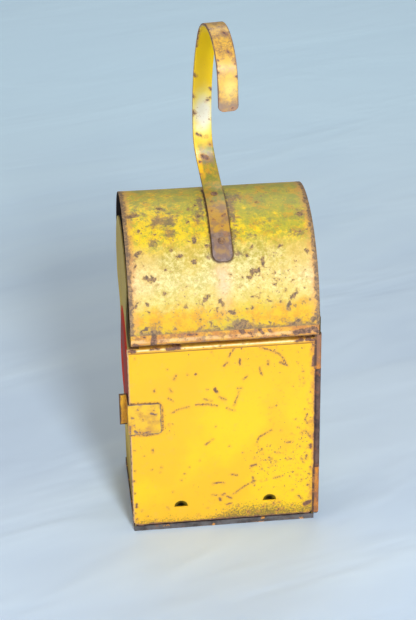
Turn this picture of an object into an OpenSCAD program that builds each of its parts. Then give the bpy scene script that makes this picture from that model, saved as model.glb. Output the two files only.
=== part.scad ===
// Sheet-steel paraffin warning lamp for road and railway works: a box case under a barrel
// cowl with open ends, a riveted crook handle, a hinged front door with a spring latch,
// a round lens in each end, and a flat-wick burner on an oil fount inside.
// X runs across the door with the hinge on +X, the door faces -Y, and Z is up.
// The origin is the centre of the base's underside.

/* [Case] */
// Width over the two end plates
body_w = 151.6; // [146:1:175]
// Depth over the base rim, front to back
base_d = 109.6; // [109.6:0.5:130]
// Thickness of the case sheet
sheet_t = 1.0; // [0.7:0.1:1.1]
// Height of the base rim
rim_h = 4.6; // [3:0.2:7]
// Thickness of the base rim
rim_t = 0.8; // [0.5:0.1:1.0]
// Height of the door
door_h = 170.6; // [168:1:200]
// Height of the head between the door top and the cowl's lower edge
head_h = 24.2; // [22:1:34]
// Height of the front strip under the cowl
strip_front_h = 10.5; // [8:0.5:12]
// Height of the back strip under the cowl
strip_back_h = 23; // [16:1:26]
// Height of the back sheet's slant below the back strip
back_flare = 14; // [8:1:24]
// How far the strips reach up inside the cowl
lap_h = 6; // [3:1:8]

/* [Cowl and roof] */
// Outer radius of the cowl
cowl_r = 81; // [79:1:95]
// How much shorter the cowl is than the case is wide
cowl_short = 1.6; // [1:0.2:8]
// Distance of the cowl's axis behind the middle of the base
cowl_y = 3; // [0:1:6]
// Air gap between the crown of the cowl and the inner roof
crown_gap = 22; // [16:1:30]
// Radius of the vent holes in the inner roof
vent_r = 4; // [2:0.5:5]
// Number of vent holes in each row
vent_n = 5; // [3:1:6]
// Distance between vent holes along a row
vent_pitch = 24; // [14:1:25]
// Distance between the two rows of vent holes
vent_rows = 36; // [20:2:50]

/* [Handle] */
// Width of the handle strap
strap_w = 15.9; // [12:0.5:20]
// Thickness of the handle strap
strap_t = 2.5; // [2:0.1:3]
// Angle up the cowl at which the strap starts
foot_a = 39.5; // [36:0.5:42]
// Radius of the bend from the cowl's crown up into the stem
stem_r = 40.6; // [30:1:50]
// Heading of the stem, from straight back
stem_a = 105; // [98:1:108]
// Length of the straight stem
stem_l = 69.2; // [55:1:90]
// Radius of the crook
crook_r = 38.3; // [30:1:45]
// Angle that the crook turns through
crook_a = 160.7; // [150:1:172]
// Length of the straight end of the crook
tip_l = 20.2; // [8:1:30]
// Turn of the crook about the vertical
twist_a = 7.2; // [0:0.5:14]
// Corner radius of the strap's ends
strap_corner = 4; // [2:0.5:5]
// Sideways place of the strap on the cowl
strap_x = 0.6; // [-4:0.2:4]
// Angles up the cowl of the two rivets
rivet_a = [51, 87];
// Radius of the rivet shanks
rivet_r = 2.0; // [1.5:0.1:2.4]
// Radius of the rivet heads
rivet_head_r = 2.9; // [2.6:0.1:3.4]
// Height of the rivet heads
rivet_head_h = 0.9; // [0.6:0.1:1.4]

/* [Door] */
// Depth of the door's folded edges
flange_d = 3.8; // [2.5:0.1:4]
// Radius of the bead along the door's top
bead_r = 2.2; // [1.5:0.1:2.6]
// Corner radius at the door's foot
door_corner = 6; // [2:0.5:9]
// Distance of each louvre from their middle
louvre_x = 37.6; // [25:1:50]
// Sideways place of the middle between the louvres
louvre_mid = 1.1; // [-4:0.1:4]
// Height of the louvre slots above the base
louvre_z = 21.5; // [16:0.5:30]
// Half width of a louvre
louvre_r = 6; // [4:0.5:8]
// Depth that a louvre is pushed in
louvre_d = 3; // [2:0.5:4]

/* [Hinge and latch] */
// Outer radius of the hinge knuckles
knuckle_r = 2.35; // [2.2:0.05:2.6]
// Radius of the hinge pin
pin_r = 1.3; // [0.9:0.1:1.4]
// Lower end of the bottom knuckle
knuckle_z0 = 6; // [6:0.5:10]
// Length of the bottom knuckle
knuckle_low = 45; // [30:1:55]
// Length of the case's middle knuckle
knuckle_mid = 94.7; // [80:0.1:100]
// How far the top knuckle rises above the door
knuckle_over = 2.2; // [0:0.2:6]
// Width of the latch's front plate
latch_w = 27.2; // [18:0.2:35]
// Height of the latch strip
latch_h = 29; // [20:1:32]
// Height of the latch's middle above the base
latch_z = 110; // [100:1:118]
// Thickness of the latch strip
latch_t = 0.8; // [0.5:0.1:0.9]
// Reach of the latch spring along the case's side
latch_reach = 18.6; // [12:0.5:20]
// Reach of the finger tab out from the spring
tab_reach = 6.0; // [4:0.5:9]
// Radius of the catch pip
pip_r = 3; // [2:0.5:3.5]

/* [Lenses] */
// Width of the end plate beside a lens hole, front and back
lens_land = 2.4; // [2.4:0.1:8]
// Height of the lens centres above the base
lens_z = 130; // [126:1:134]
// Bulge of a lens's outer face
lens_dome = 2.9; // [2:0.1:3.4]
// Thickness of a lens's rim
lens_t = 2.5; // [2:0.1:3.5]
// Radius of the bull's-eye on a lens's inner face
eye_r = 30; // [20:1:36]
// Bulge of the bull's-eye
eye_h = 6; // [3:0.5:7]
// Thickness of the lens gaskets
gasket_t = 0.6; // [0.4:0.1:1]
// Thickness of the retaining rings
ring_t = 1.2; // [0.8:0.1:1.6]
// Width of a lens clip
clip_w = 7; // [5:0.5:9]

/* [Fount and burner] */
// Width of the oil fount
fount_w = 96; // [80:1:104]
// Depth of the oil fount
fount_d = 76; // [60:1:80]
// Height of the oil fount
fount_h = 58; // [50:1:62]
// Corner radius of the fount
fount_corner = 8; // [4:1:14]
// Thickness of the fount's sheet
fount_t = 0.8; // [0.6:0.1:1]
// Height of the guides' upright edge
guide_h = 8; // [5:1:12]
// Outer radius of the burner collar
collar_r = 17; // [16:0.5:20]
// Height of the burner collar
collar_h = 5; // [4:0.5:7]
// Outer radius of the burner body
burner_r = 12; // [11.5:0.1:12.5]
// Height of the burner body above the collar
burner_h = 24; // [20:1:28]
// Height of the burner's dome
dome_h = 15; // [10:1:18]
// Width of the flat wick
wick_w = 14; // [10:0.5:15]
// Height of the wick's lower end above the fount's bottom
wick_low = 12; // [9:1:30]
// Thickness of the flat wick
wick_t = 2.2; // [1.5:0.1:2.4]
// Radius of the spur wheel that lifts the wick
spur_r = 4; // [3.4:0.1:4]
// Radius of the wick winder's spindle
spindle_r = 1.25; // [1:0.05:1.4]
// Radius of the winder knob
knob_r = 7; // [5:0.5:8]
// Distance of the winder knob in front of the burner
knob_reach = 25; // [20:1:28]
// Sideways place of the filler
filler_x = -29; // [-32:1:-27]
// Distance of the filler in front of the burner
filler_front = 10; // [0:1:14]
// Radius of the filler neck
neck_r = 9; // [7:0.5:9.5]
// Height of the filler neck
neck_h = 6; // [5:0.5:8]

/* [Clearances] */
// Gap between the door and the case
door_gap = 0.2; // [0.1:0.1:0.4]
// Gap between the door's side fold and the case's side
side_gap = 0.4; // [0.3:0.1:0.6]
// Gap between the door's foot and the base rim
foot_gap = 0.6; // [0.4:0.1:1.5]
// Gap between the door's top and the head
top_gap = 1.2; // [0.8:0.1:2]
// Radial clearance of a turning bore on its pin
run_gap = 0.06; // [0.03:0.01:0.09]
// Radial clearance of a fixed shank in its hole
fix_gap = 0.05; // [0.02:0.01:0.1]
// Clearance between loose flat pieces
slip_gap = 0.3; // [0.2:0.1:0.4]

/* [Hidden] */
$fn = 72;
eps = 0.01;
far = 400;

yellow = [0.96, 0.77, 0.13];
olive = [0.55, 0.48, 0.16];
rust = [0.45, 0.27, 0.15];
red_glass = [0.62, 0.08, 0.05];
brass = [0.72, 0.56, 0.26];
tin = [0.60, 0.60, 0.58];

// Outer faces of the case
half_w = body_w / 2;
plate_in = half_w - sheet_t;
body_back = base_d / 2 - rim_t;
door_front = -base_d / 2;
door_in = door_front + sheet_t;
body_front = door_in + door_gap;
door_z0 = rim_h + foot_gap;
door_top = door_z0 + door_h;
cowl_z = door_top + head_h;
cowl_in = cowl_r - sheet_t;
cowl_w = body_w - cowl_short;

// The inner roof has its edges on the strips and its crown under the cowl's
roof_c = cowl_in - sheet_t;
roof_h = cowl_r - crown_gap;
roof_r = (roof_c * roof_c + roof_h * roof_h) / (2 * roof_h);
roof_z = cowl_z + roof_h - roof_r;

// Strip corners, as centre lines of the sheet
strip_front_y = cowl_y - cowl_in + sheet_t / 2;
strip_back_y = cowl_y + cowl_in - sheet_t / 2;
strip_front_z = cowl_z - strip_front_h + sheet_t / 2;
strip_back_z = cowl_z - strip_back_h + sheet_t / 2;
strip_bend = 2;
stop_y = door_in + flange_d + side_gap + sheet_t / 2;
stop_drop = 6;
shelf_z = door_top + top_gap + sheet_t / 2 + 1;
back_bend_z = strip_back_z - back_flare;

// Handle path lengths
strap_rc = cowl_r + strap_t / 2 + 0.03;
leave_a = 90;
path_foot = strap_rc * (leave_a - foot_a) * PI / 180;
path_stem = path_foot + stem_r * stem_a * PI / 180;
path_crook = path_stem + stem_l;
path_tip = path_crook + crook_r * crook_a * PI / 180;
path_end = path_tip + tip_l;
strap_step = 4;

// Hinge
pin_x = half_w + knuckle_r + 0.45;
pin_y = door_front + knuckle_r;
mid_z0 = knuckle_z0 + knuckle_low + slip_gap;
mid_z1 = mid_z0 + knuckle_mid;
top_z0 = mid_z1 + slip_gap;
top_z1 = door_top + knuckle_over;
pin_head_r = 2.1;
pin_head_h = 0.8;
leaf_w = 1.8;
leaf_t = 0.8;
web_t = 1.0;

// Door
door_left = -half_w - side_gap - sheet_t;
bead_z = door_top - bead_r;
fold_inset = 0.8;
fold_z0 = door_z0 + door_corner + 1;
fold_z1 = door_top - 2 * bead_r;

// Latch
leg_out = door_left - door_gap - latch_t;
leg_in = door_left - door_gap;
latch_front = door_front - latch_t;
leg_y0 = door_front + slip_gap;
leg_y1 = latch_front + latch_reach + latch_t;
latch_corner = 3;
pip_y = door_in + flange_d + side_gap + pip_r + 0.8;
pip_z = latch_z - latch_h / 2 + pip_r + 1.2;
pip_h = -half_w - leg_in - slip_gap;
pip_hole_r = 2.2;

// Lenses
lens_y = (body_front + body_back) / 2;
hole_r = (body_back - body_front) / 2 - lens_land;
lens_r = hole_r - slip_gap;
lens_rim_r = lens_r + 1.5;
dome_r = (lens_r * lens_r + lens_dome * lens_dome) / (2 * lens_dome);
eye_sphere = (eye_r * eye_r + eye_h * eye_h) / (2 * eye_h);
ring_w = 3.2;
clip_t = 0.8;
clip_foot = 6;
clip_gap = 0.4;

// Fount and burner
fount_top = sheet_t + fount_h;
guide_t = 1;
guide_foot = 7;
guide_l = 84;
thread_r = burner_r + 0.9;
collar_top = fount_top + collar_h;
gallery_h = 4;
gallery_r = collar_r + 1;
burner_top = collar_top + burner_h;
burner_wall = 1.4;
tube_wall = 0.8;
tube_gap = 0.3;
tube_in_t = wick_t + 2 * tube_gap;
tube_in_w = wick_w + 2 * tube_gap;
tube_top = burner_top + dome_h + 2;
wick_top = tube_top + 2;
wick_foot = sheet_t + fount_t + wick_low;
spur_x = wick_t / 2 + 0.25 + spur_r;
spur_z = collar_top + gallery_h + spur_r + 5;
spur_w = 7;
spur_n = 12;
tooth_h = 0.9;
slot_half = spur_r + 0.4;
knob_t = 3;
knob_y = lens_y - burner_r - knob_reach;
knob_n = 20;
neck_wall = 1.2;
filler_y = lens_y - filler_front;
cap_wall = 1.6;
cap_top_t = 1.4;
washer_t = 1.2;
washer_z = fount_top + neck_h + 0.1;
cap_n = 24;

// Draws a YZ outline as a solid from x along +X
module yz(x, t) {
    translate([x, 0, 0]) rotate([90, 0, 90]) linear_extrude(t) children();
}

// Box from one corner to the other
module block(a, b) {
    translate(a) cube([b[0] - a[0], b[1] - a[1], b[2] - a[2]]);
}

// Bent sheet outline of thickness t about a centre line
function normal(a, b) = [a[1] - b[1], b[0] - a[0]] / norm(b - a);
function edge(points, d) = [for (i = [0 : len(points) - 1]) let (
    a = normal(points[max(0, i - 1)], points[max(1, i)]),
    b = normal(points[min(i, len(points) - 2)], points[min(i + 1, len(points) - 1)]))
    points[i] + d * (a + b) / (1 + a * b)];
function reversed(list) = [for (i = [len(list) - 1 : -1 : 0]) list[i]];
module bent(points, t) {
    polygon(concat(edge(points, t / 2), reversed(edge(points, -t / 2))));
}

// Ring outline about the cowl's axis
module cowl_ring(r_out, r_in) {
    translate([cowl_y, cowl_z]) difference() {
        circle(r_out, $fn = 180);
        circle(r_in, $fn = 180);
    }
}

// Top of a lip that laps inside the cowl at radius r, on the front (-1) or the back (1)
function lap(side, r) = [cowl_y + side * sqrt(r * r - lap_h * lap_h), cowl_z + lap_h];

// Rectangle with rounded corners, from one corner to the other
module round_rect(a, b, r) {
    for (x = [a[0] + r, b[0] - r], y = [a[1] + r, b[1] - r]) translate([x, y]) circle(r);
    translate([a[0] + r, a[1]]) square([b[0] - a[0] - 2 * r, b[1] - a[1]]);
    translate([a[0], a[1] + r]) square([b[0] - a[0], b[1] - a[1] - 2 * r]);
}

module base_pan() {
    color(rust) {
        linear_extrude(sheet_t)
            round_rect([-half_w - rim_t, door_front], [half_w + rim_t, base_d / 2], rim_t);
        linear_extrude(rim_h) difference() {
            round_rect([-half_w - rim_t, door_front], [half_w + rim_t, base_d / 2], rim_t);
            translate([-half_w, door_front + rim_t]) square([body_w, base_d - 2 * rim_t]);
        }
    }
}

// Outline of an end plate: the box, the shoulders under the cowl and the arched head
module end_outline() {
    polygon([
        [body_front, sheet_t], [body_front, door_top + top_gap],
        [strip_front_y + 2, strip_front_z - sheet_t / 2],
        [strip_front_y - sheet_t / 2, strip_front_z + strip_bend],
        [strip_front_y - sheet_t / 2, cowl_z], lap(-1, cowl_in),
        lap(1, cowl_in), [strip_back_y + sheet_t / 2, cowl_z],
        [strip_back_y + sheet_t / 2, strip_back_z + strip_bend],
        [strip_back_y - 2, strip_back_z - sheet_t / 2],
        [body_back, back_bend_z], [body_back, sheet_t]]);
    intersection() {
        translate([cowl_y, roof_z]) circle(roof_r, $fn = 180);
        translate([-far, cowl_z + lap_h / 2]) square([2 * far, far]);
    }
}

module end_plate(x) {
    color(yellow) yz(x, sheet_t) difference() {
        end_outline();
        translate([lens_y, lens_z]) circle(hole_r, $fn = 180);
    }
}

module end_plate_left() {
    end_plate(-half_w);
}

module end_plate_right() {
    end_plate(plate_in);
}

// Back sheet, flared out at the top to the back strip
module back_panel() {
    y = body_back - sheet_t / 2;
    color(yellow) yz(-plate_in, 2 * plate_in) bent([
        [y, sheet_t], [y, back_bend_z],
        [strip_back_y - strip_bend, strip_back_z],
        [strip_back_y, strip_back_z + strip_bend], [strip_back_y, cowl_z],
        lap(1, cowl_in - sheet_t / 2)], sheet_t);
}

// Strip under the cowl's front edge, its shelf, and the stop behind the door's top
module front_header() {
    color(yellow) yz(-plate_in, 2 * plate_in) bent([
        [stop_y, door_top - stop_drop], [stop_y, shelf_z],
        [strip_front_y + strip_bend, strip_front_z],
        [strip_front_y, strip_front_z + strip_bend], [strip_front_y, cowl_z],
        lap(-1, cowl_in - sheet_t / 2)], sheet_t);
}

// Arched sheet that closes the case below the cowl, with two rows of vents
module inner_roof() {
    color(olive) difference() {
        yz(-plate_in, 2 * plate_in) intersection() {
            translate([cowl_y, roof_z]) difference() {
                circle(roof_r, $fn = 180);
                circle(roof_r - sheet_t, $fn = 180);
            }
            translate([-far, cowl_z]) square([2 * far, far]);
        }
        for (i = [0 : vent_n - 1], side = [-1, 1])
            translate([(i - (vent_n - 1) / 2) * vent_pitch, cowl_y + side * vent_rows / 2, roof_z])
                cylinder(h = far, r = vent_r);
    }
}

// Places its children on the cowl's outside, with +Z pointing out, at an angle up from the front
module on_cowl(a) {
    translate([strap_x, cowl_y, cowl_z]) rotate([90 - a, 0, 0]) translate([0, 0, cowl_r]) children();
}

module rivet_holes(r) {
    for (a = rivet_a) on_cowl(a) translate([0, 0, -far / 20]) cylinder(h = far / 10, r = r);
}

module cowl() {
    color(yellow) difference() {
        yz(-cowl_w / 2, cowl_w) intersection() {
            cowl_ring(cowl_r, cowl_in);
            translate([-far, cowl_z]) square([2 * far, far]);
        }
        rivet_holes(rivet_r + fix_gap);
    }
}

// Place and heading of the strap's centre line at length s from its foot: [y, z, heading],
// where heading 0 points straight back and 90 straight up
function turn(p, r, a) = [
    p[0] + r * (sin(p[2] + a) - sin(p[2])), p[1] - r * (cos(p[2] + a) - cos(p[2])), p[2] + a];
function ahead(p, d) = [p[0] + d * cos(p[2]), p[1] + d * sin(p[2]), p[2]];
function on_foot(s) = let (a = foot_a + s / strap_rc * 180 / PI)
    [cowl_y - strap_rc * cos(a), cowl_z + strap_rc * sin(a), 90 - a];
foot_end = on_foot(path_foot);
stem_start = turn(foot_end, stem_r, stem_a);
stem_end = ahead(stem_start, stem_l);
crook_end = turn(stem_end, crook_r, crook_a);
function on_path(s) =
    s <= path_foot ? on_foot(s) :
    s <= path_stem ? turn(foot_end, stem_r, (s - path_foot) / stem_r * 180 / PI) :
    s <= path_crook ? ahead(stem_start, s - path_stem) :
    s <= path_tip ? turn(stem_end, crook_r, (s - path_crook) / crook_r * 180 / PI) :
    ahead(crook_end, s - path_tip);
function twist_at(s) = twist_a * min(1, max(0, (s - path_foot) / (path_stem - path_foot)));
function near_end(s) = max(0, strap_corner - min(s, path_end - s));
function round_in(s) = sqrt(max(0, pow(strap_corner, 2) - pow(near_end(s), 2)));
function half_width(s) = strap_w / 2 - strap_corner + round_in(s);
function twisted(x, y, z, a) = let (f = y - foot_end[0])
    [strap_x + x * cos(a) - f * sin(a), foot_end[0] + x * sin(a) + f * cos(a), z];
function strap_ring(s) = let (
    p = on_path(s), a = twist_at(s), w = half_width(s), n = [-sin(p[2]), cos(p[2])] * strap_t / 2) [
    twisted(-w, p[0] - n[0], p[1] - n[1], a), twisted(w, p[0] - n[0], p[1] - n[1], a),
    twisted(w, p[0] + n[0], p[1] + n[1], a), twisted(-w, p[0] + n[0], p[1] + n[1], a)];
end_steps = [0, 0.06, 0.2, 0.4, 0.7];
strap_n = ceil((path_end - 2 * strap_corner) / strap_step);
strap_stations = concat(
    [for (e = end_steps) e * strap_corner],
    [for (i = [0 : strap_n]) strap_corner + i * (path_end - 2 * strap_corner) / strap_n],
    [for (i = [len(end_steps) - 1 : -1 : 0]) path_end - end_steps[i] * strap_corner]);

// Flat steel strap: riveted foot on the cowl, stem and crook
module handle_strap() {
    rings = [for (s = strap_stations) strap_ring(s)];
    last = 4 * (len(rings) - 1);
    color(yellow) difference() {
        polyhedron(
            points = [for (r = rings, p = r) p],
            faces = concat(
                [[0, 1, 2], [0, 2, 3], [last + 2, last + 1, last], [last + 3, last + 2, last]],
                [for (i = [0 : len(rings) - 2], k = [0 : 3]) let (a = 4 * i + k, b = 4 * i + (k + 1) % 4)
                    each [[a, a + 4, b + 4], [a, b + 4, b]]]));
        rivet_holes(rivet_r + fix_gap);
    }
}

// Low round-headed rivets through strap and cowl, set over inside
module handle_rivets() {
    color(rust) for (a = rivet_a) on_cowl(a) {
        translate([0, 0, -sheet_t]) cylinder(h = sheet_t + strap_t + 0.3, r = rivet_r);
        translate([0, 0, strap_t + 0.1]) rivet_head();
        translate([0, 0, -sheet_t - 0.1]) mirror([0, 0, 1]) rivet_head();
    }
}

module rivet_head() {
    ball = (pow(rivet_head_r, 2) + pow(rivet_head_h, 2)) / (2 * rivet_head_h);
    intersection() {
        translate([0, 0, rivet_head_h - ball]) sphere(ball);
        cylinder(h = rivet_head_h, r = rivet_head_r);
    }
}

module knuckle(z0, z1, bore) {
    translate([pin_x, pin_y, z0]) difference() {
        cylinder(h = z1 - z0, r = knuckle_r);
        translate([0, 0, -1]) cylinder(h = z1 - z0 + 2, r = bore);
    }
}

// Middle knuckle, rolled from a narrow leaf that is welded to the right end plate
module hinge_leaf() {
    color(rust) difference() {
        union() {
            translate([pin_x, pin_y, mid_z0]) cylinder(h = knuckle_mid, r = knuckle_r);
            block([half_w, body_front + door_gap, mid_z0], [pin_x, body_front + door_gap + web_t, mid_z1]);
            block([half_w, body_front + door_gap, mid_z0],
                [half_w + leaf_t, body_front + door_gap + leaf_w, mid_z1]);
        }
        translate([pin_x, pin_y, mid_z0 - 1]) cylinder(h = knuckle_mid + 2, r = pin_r + fix_gap / 2);
    }
}

module hinge_pin() {
    color(rust) translate([pin_x, pin_y, 0]) {
        translate([0, 0, knuckle_z0 - 0.2]) cylinder(h = top_z1 - knuckle_z0 + 0.4, r = pin_r);
        for (z = [knuckle_z0 - 0.2 - pin_head_h, top_z1 + 0.2])
            translate([0, 0, z]) cylinder(h = pin_head_h, r = pin_head_r);
    }
}

// Half-moon louvre: the part of a ball behind the door sheet, above the slot
module louvre_scoop(grow) {
    ball = (pow(louvre_r, 2) + pow(louvre_d, 2)) / (2 * louvre_d);
    intersection() {
        translate([0, louvre_d - ball, 0]) sphere(ball + grow);
        translate([-far, -grow, grow > 0 ? 0 : -eps]) cube([2 * far, far, far]);
    }
}

// Door: pressed sheet with folded edges, a bead along the top, louvres and two rolled knuckles
module door_panel() {
    color(yellow) difference() {
        union() {
            translate([0, door_in, 0]) rotate([90, 0, 0]) linear_extrude(sheet_t) {
                round_rect([door_left, door_z0], [half_w, door_top - door_corner], door_corner);
                translate([door_left, door_top - 3 * door_corner])
                    square([half_w - door_left, 3 * door_corner]);
            }
            block([door_left, door_in - eps, fold_z0], [door_left + sheet_t, door_in + flange_d, fold_z1]);
            for (z = [door_z0, door_top - sheet_t])
                block([-plate_in + fold_inset + door_corner, door_in - eps, z],
                    [plate_in - fold_inset - door_corner, door_in + flange_d, z + sheet_t]);
            intersection() {
                translate([0, door_in, bead_z]) rotate([0, 90, 0])
                    cylinder(h = 2 * (plate_in - fold_inset), r = bead_r, center = true);
                block([-far, -far, 0], [far, door_in, far]);
            }
            for (x = [-louvre_x, louvre_x]) translate([louvre_mid + x, door_in, louvre_z]) louvre_scoop(sheet_t);
            for (z = [[knuckle_z0, mid_z0 - slip_gap], [top_z0, top_z1]])
                translate([pin_x, pin_y, z[0]]) cylinder(h = z[1] - z[0], r = knuckle_r);
            for (z = [[door_z0 + door_corner, mid_z0 - slip_gap], [top_z0, door_top]])
                block([half_w - eps, door_front, z[0]], [pin_x, door_in, z[1]]);
        }
        for (x = [-louvre_x, louvre_x]) translate([louvre_mid + x, door_front, louvre_z]) louvre_scoop(0);
        translate([pin_x, pin_y, -1]) cylinder(h = far, r = pin_r + run_gap);
    }
}

// Front plate of the latch, welded to the door
module latch_plate() {
    color(yellow) translate([0, door_front, 0]) rotate([90, 0, 0]) linear_extrude(latch_t) {
        round_rect([leg_in, latch_z - latch_h / 2], [leg_out + latch_w, latch_z + latch_h / 2], latch_corner);
        translate([leg_out, latch_z - latch_h / 2]) square([latch_w / 2, latch_h]);
    }
}

// Spring leg along the case's side, with a hole for the catch pip and a turned-out finger tab
module latch_spring() {
    z0 = latch_z - latch_h / 2;
    color(yellow) {
        difference() {
            block([leg_out, leg_y0, z0], [leg_in, leg_y1, z0 + latch_h]);
            translate([leg_out - 1, pip_y, pip_z]) rotate([0, 90, 0]) cylinder(h = 4, r = pip_hole_r);
        }
        block([leg_out - tab_reach, leg_y1 - latch_t, z0], [leg_out + eps, leg_y1, z0 + latch_h]);
    }
}

// Low pip on the left end plate that the spring's hole settles over
module latch_catch() {
    ball = (pow(pip_r, 2) + pow(pip_h, 2)) / (2 * pip_h);
    color(rust) translate([-half_w, pip_y, pip_z]) rotate([0, -90, 0]) intersection() {
        translate([0, 0, pip_h - ball]) sphere(ball);
        cylinder(h = pip_h, r = pip_r);
    }
}

// Puts its children on a lens axis with +Z pointing out of the case, on the left (-1) or right (1)
module at_lens(side) {
    translate([side * plate_in, lens_y, lens_z]) rotate([0, side * 90, 0]) children();
}

// Pressed lens: a rim behind the plate, a low dome outside and a bull's-eye inside
module lens(side) {
    back = -gasket_t - lens_t;
    color(red_glass) at_lens(side) rotate_extrude($fn = 180) {
        translate([0, back]) square([lens_rim_r, lens_t]);
        intersection() {
            translate([0, -gasket_t - eps]) square([lens_r, far]);
            translate([0, sheet_t + lens_dome - dome_r]) circle(dome_r, $fn = 1440);
        }
        intersection() {
            translate([0, back - eye_h]) square([eye_r, eye_h + eps]);
            translate([0, back - eye_h + eye_sphere]) circle(eye_sphere, $fn = 360);
        }
    }
}

module lens_left() {
    lens(-1);
}

module lens_right() {
    lens(1);
}

module ring(z, t, r_out, r_in) {
    translate([0, 0, z]) difference() {
        cylinder(h = t, r = r_out, $fn = 120);
        translate([0, 0, -1]) cylinder(h = t + 2, r = r_in, $fn = 120);
    }
}

module lens_gaskets() {
    color(rust) for (side = [-1, 1]) at_lens(side) ring(-gasket_t, gasket_t, lens_rim_r, lens_r + 0.2);
}

module lens_rings() {
    color(tin) for (side = [-1, 1]) at_lens(side)
        ring(-gasket_t - lens_t - ring_t, ring_t, lens_rim_r, lens_rim_r - ring_w);
}

// Four bent clips round each lens, welded to the end plate, that press on the retaining ring
module lens_clips() {
    deep = gasket_t + lens_t + ring_t;
    r0 = lens_rim_r + clip_gap;
    color(tin) for (side = [-1, 1], a = [45 : 90 : 315]) at_lens(side) rotate(a) {
        block([r0, -clip_w / 2, -clip_t], [r0 + clip_foot, clip_w / 2, 0]);
        block([r0, -clip_w / 2, -deep - clip_t], [r0 + clip_t, clip_w / 2, 0]);
        block([r0 - ring_w + 1, -clip_w / 2, -deep - clip_t], [r0 + clip_t, clip_w / 2, -deep]);
    }
}

// Two angle strips and a back stop on the base that locate the fount
module fount_guides() {
    x = fount_w / 2 + slip_gap;
    y = lens_y + fount_d / 2 + slip_gap;
    color(rust) {
        for (side = [0, 1]) mirror([side, 0, 0]) {
            block([x, lens_y - guide_l / 2, sheet_t], [x + guide_t, lens_y + guide_l / 2, sheet_t + guide_h]);
            block([x, lens_y - guide_l / 2, sheet_t],
                [x + guide_foot, lens_y + guide_l / 2, sheet_t + guide_t]);
        }
        block([-fount_w / 4, y, sheet_t], [fount_w / 4, y + guide_t, sheet_t + guide_h]);
        block([-fount_w / 4, y, sheet_t], [fount_w / 4, y + guide_foot, sheet_t + guide_t]);
    }
}

module fount_outline(inset) {
    round_rect([-fount_w / 2 + inset, -fount_d / 2 + inset], [fount_w / 2 - inset, fount_d / 2 - inset],
        fount_corner - inset);
}

// Drawn oil tank, open at the top
module fount_tank() {
    color(tin) translate([0, lens_y, sheet_t]) difference() {
        linear_extrude(fount_h - fount_t) fount_outline(0);
        translate([0, 0, fount_t]) linear_extrude(fount_h) fount_outline(fount_t);
    }
}

// Lid soldered on the tank, with holes under the burner collar and the filler neck
module fount_lid() {
    color(tin) translate([0, 0, fount_top - fount_t]) linear_extrude(fount_t) difference() {
        translate([0, lens_y]) fount_outline(0);
        translate([0, lens_y]) circle(burner_r);
        translate([filler_x, filler_y]) circle(neck_r - neck_wall);
    }
}

module burner_collar() {
    color(brass) translate([0, lens_y, fount_top]) ring(0, collar_h, collar_r, thread_r);
}

module filler_neck() {
    color(brass) translate([filler_x, filler_y, fount_top]) ring(0, neck_h, neck_r, neck_r - neck_wall);
}

module spindle_bore(r, y0, y1) {
    translate([spur_x, y0, spur_z]) rotate([-90, 0, 0]) cylinder(h = y1 - y0, r = r);
}

// Brass burner: screwed skirt, gallery flange and a hollow body with bearings for the spindle
module burner_body() {
    color(brass) difference() {
        translate([0, lens_y, 0]) {
            translate([0, 0, fount_top]) cylinder(h = collar_h, r = thread_r - fix_gap);
            translate([0, 0, collar_top]) cylinder(h = gallery_h, r = gallery_r);
            translate([0, 0, collar_top]) cylinder(h = burner_h, r = burner_r);
        }
        translate([0, lens_y, fount_top - 1]) cylinder(h = 1 + collar_h, r = burner_r - burner_wall);
        translate([0, lens_y, collar_top + burner_wall]) cylinder(h = burner_h, r = burner_r - burner_wall);
        tube_box(tube_wall + fix_gap, fount_top, burner_top);
        spindle_bore(spindle_r + run_gap, lens_y - far / 2, lens_y + far / 2);
    }
}

// Upright box round the wick, grown sideways by g
module tube_box(g, z0, z1) {
    translate([0, lens_y, 0])
        block([-tube_in_t / 2 - g, -tube_in_w / 2 - g, z0], [tube_in_t / 2 + g, tube_in_w / 2 + g, z1]);
}

// Flat tube that guides the wick, open on one side where the spur wheel reaches it
module wick_tube() {
    color(brass) difference() {
        tube_box(tube_wall, fount_top + 1, tube_top);
        tube_box(0, fount_top, tube_top + 1);
        block([0, lens_y - spur_w / 2 - 0.5, spur_z - slot_half],
            [tube_in_t, lens_y + spur_w / 2 + 0.5, spur_z + slot_half]);
    }
}

// Domed cap over the burner with a slot for the wick tube
module burner_dome() {
    ball = (pow(burner_r, 2) + pow(dome_h, 2)) / (2 * dome_h);
    shell = 0.8;
    color(brass) translate([0, lens_y, burner_top]) difference() {
        intersection() {
            translate([0, 0, dome_h - ball]) sphere(ball);
            cylinder(h = dome_h + 1, r = far);
        }
        translate([0, 0, dome_h - ball]) sphere(ball - shell);
        translate([-tube_in_t, -tube_in_w / 2 - 1.5, 1]) cube([2 * tube_in_t, tube_in_w + 3, far]);
    }
}

module winder_spindle() {
    color(brass) spindle_bore(spindle_r, knob_y - knob_t + 0.5, lens_y + burner_r);
}

// Toothed wheel on the spindle that draws the wick up and down
module winder_wheel() {
    color(brass) translate([spur_x, lens_y + spur_w / 2, spur_z]) rotate([90, 0, 0])
        linear_extrude(spur_w) difference() {
            polygon([for (i = [0 : 2 * spur_n - 1])
                let (r = i % 2 == 0 ? spur_r : spur_r - tooth_h, a = 180 * i / spur_n)
                [-r * cos(a), r * sin(a)]]);
            circle(spindle_r + fix_gap / 2);
        }
}

// Milled knob on the spindle's front end
module winder_knob() {
    color(brass) translate([spur_x, knob_y, spur_z]) rotate([90, 0, 0]) difference() {
        cylinder(h = knob_t, r = knob_r);
        for (i = [0 : knob_n - 1]) rotate(i * 360 / knob_n)
            translate([knob_r + 0.25, 0, -1]) cylinder(h = knob_t + 2, r = 0.7, $fn = 16);
        translate([0, 0, -1]) cylinder(h = knob_t + 2, r = spindle_r + fix_gap / 2);
    }
}

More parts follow.
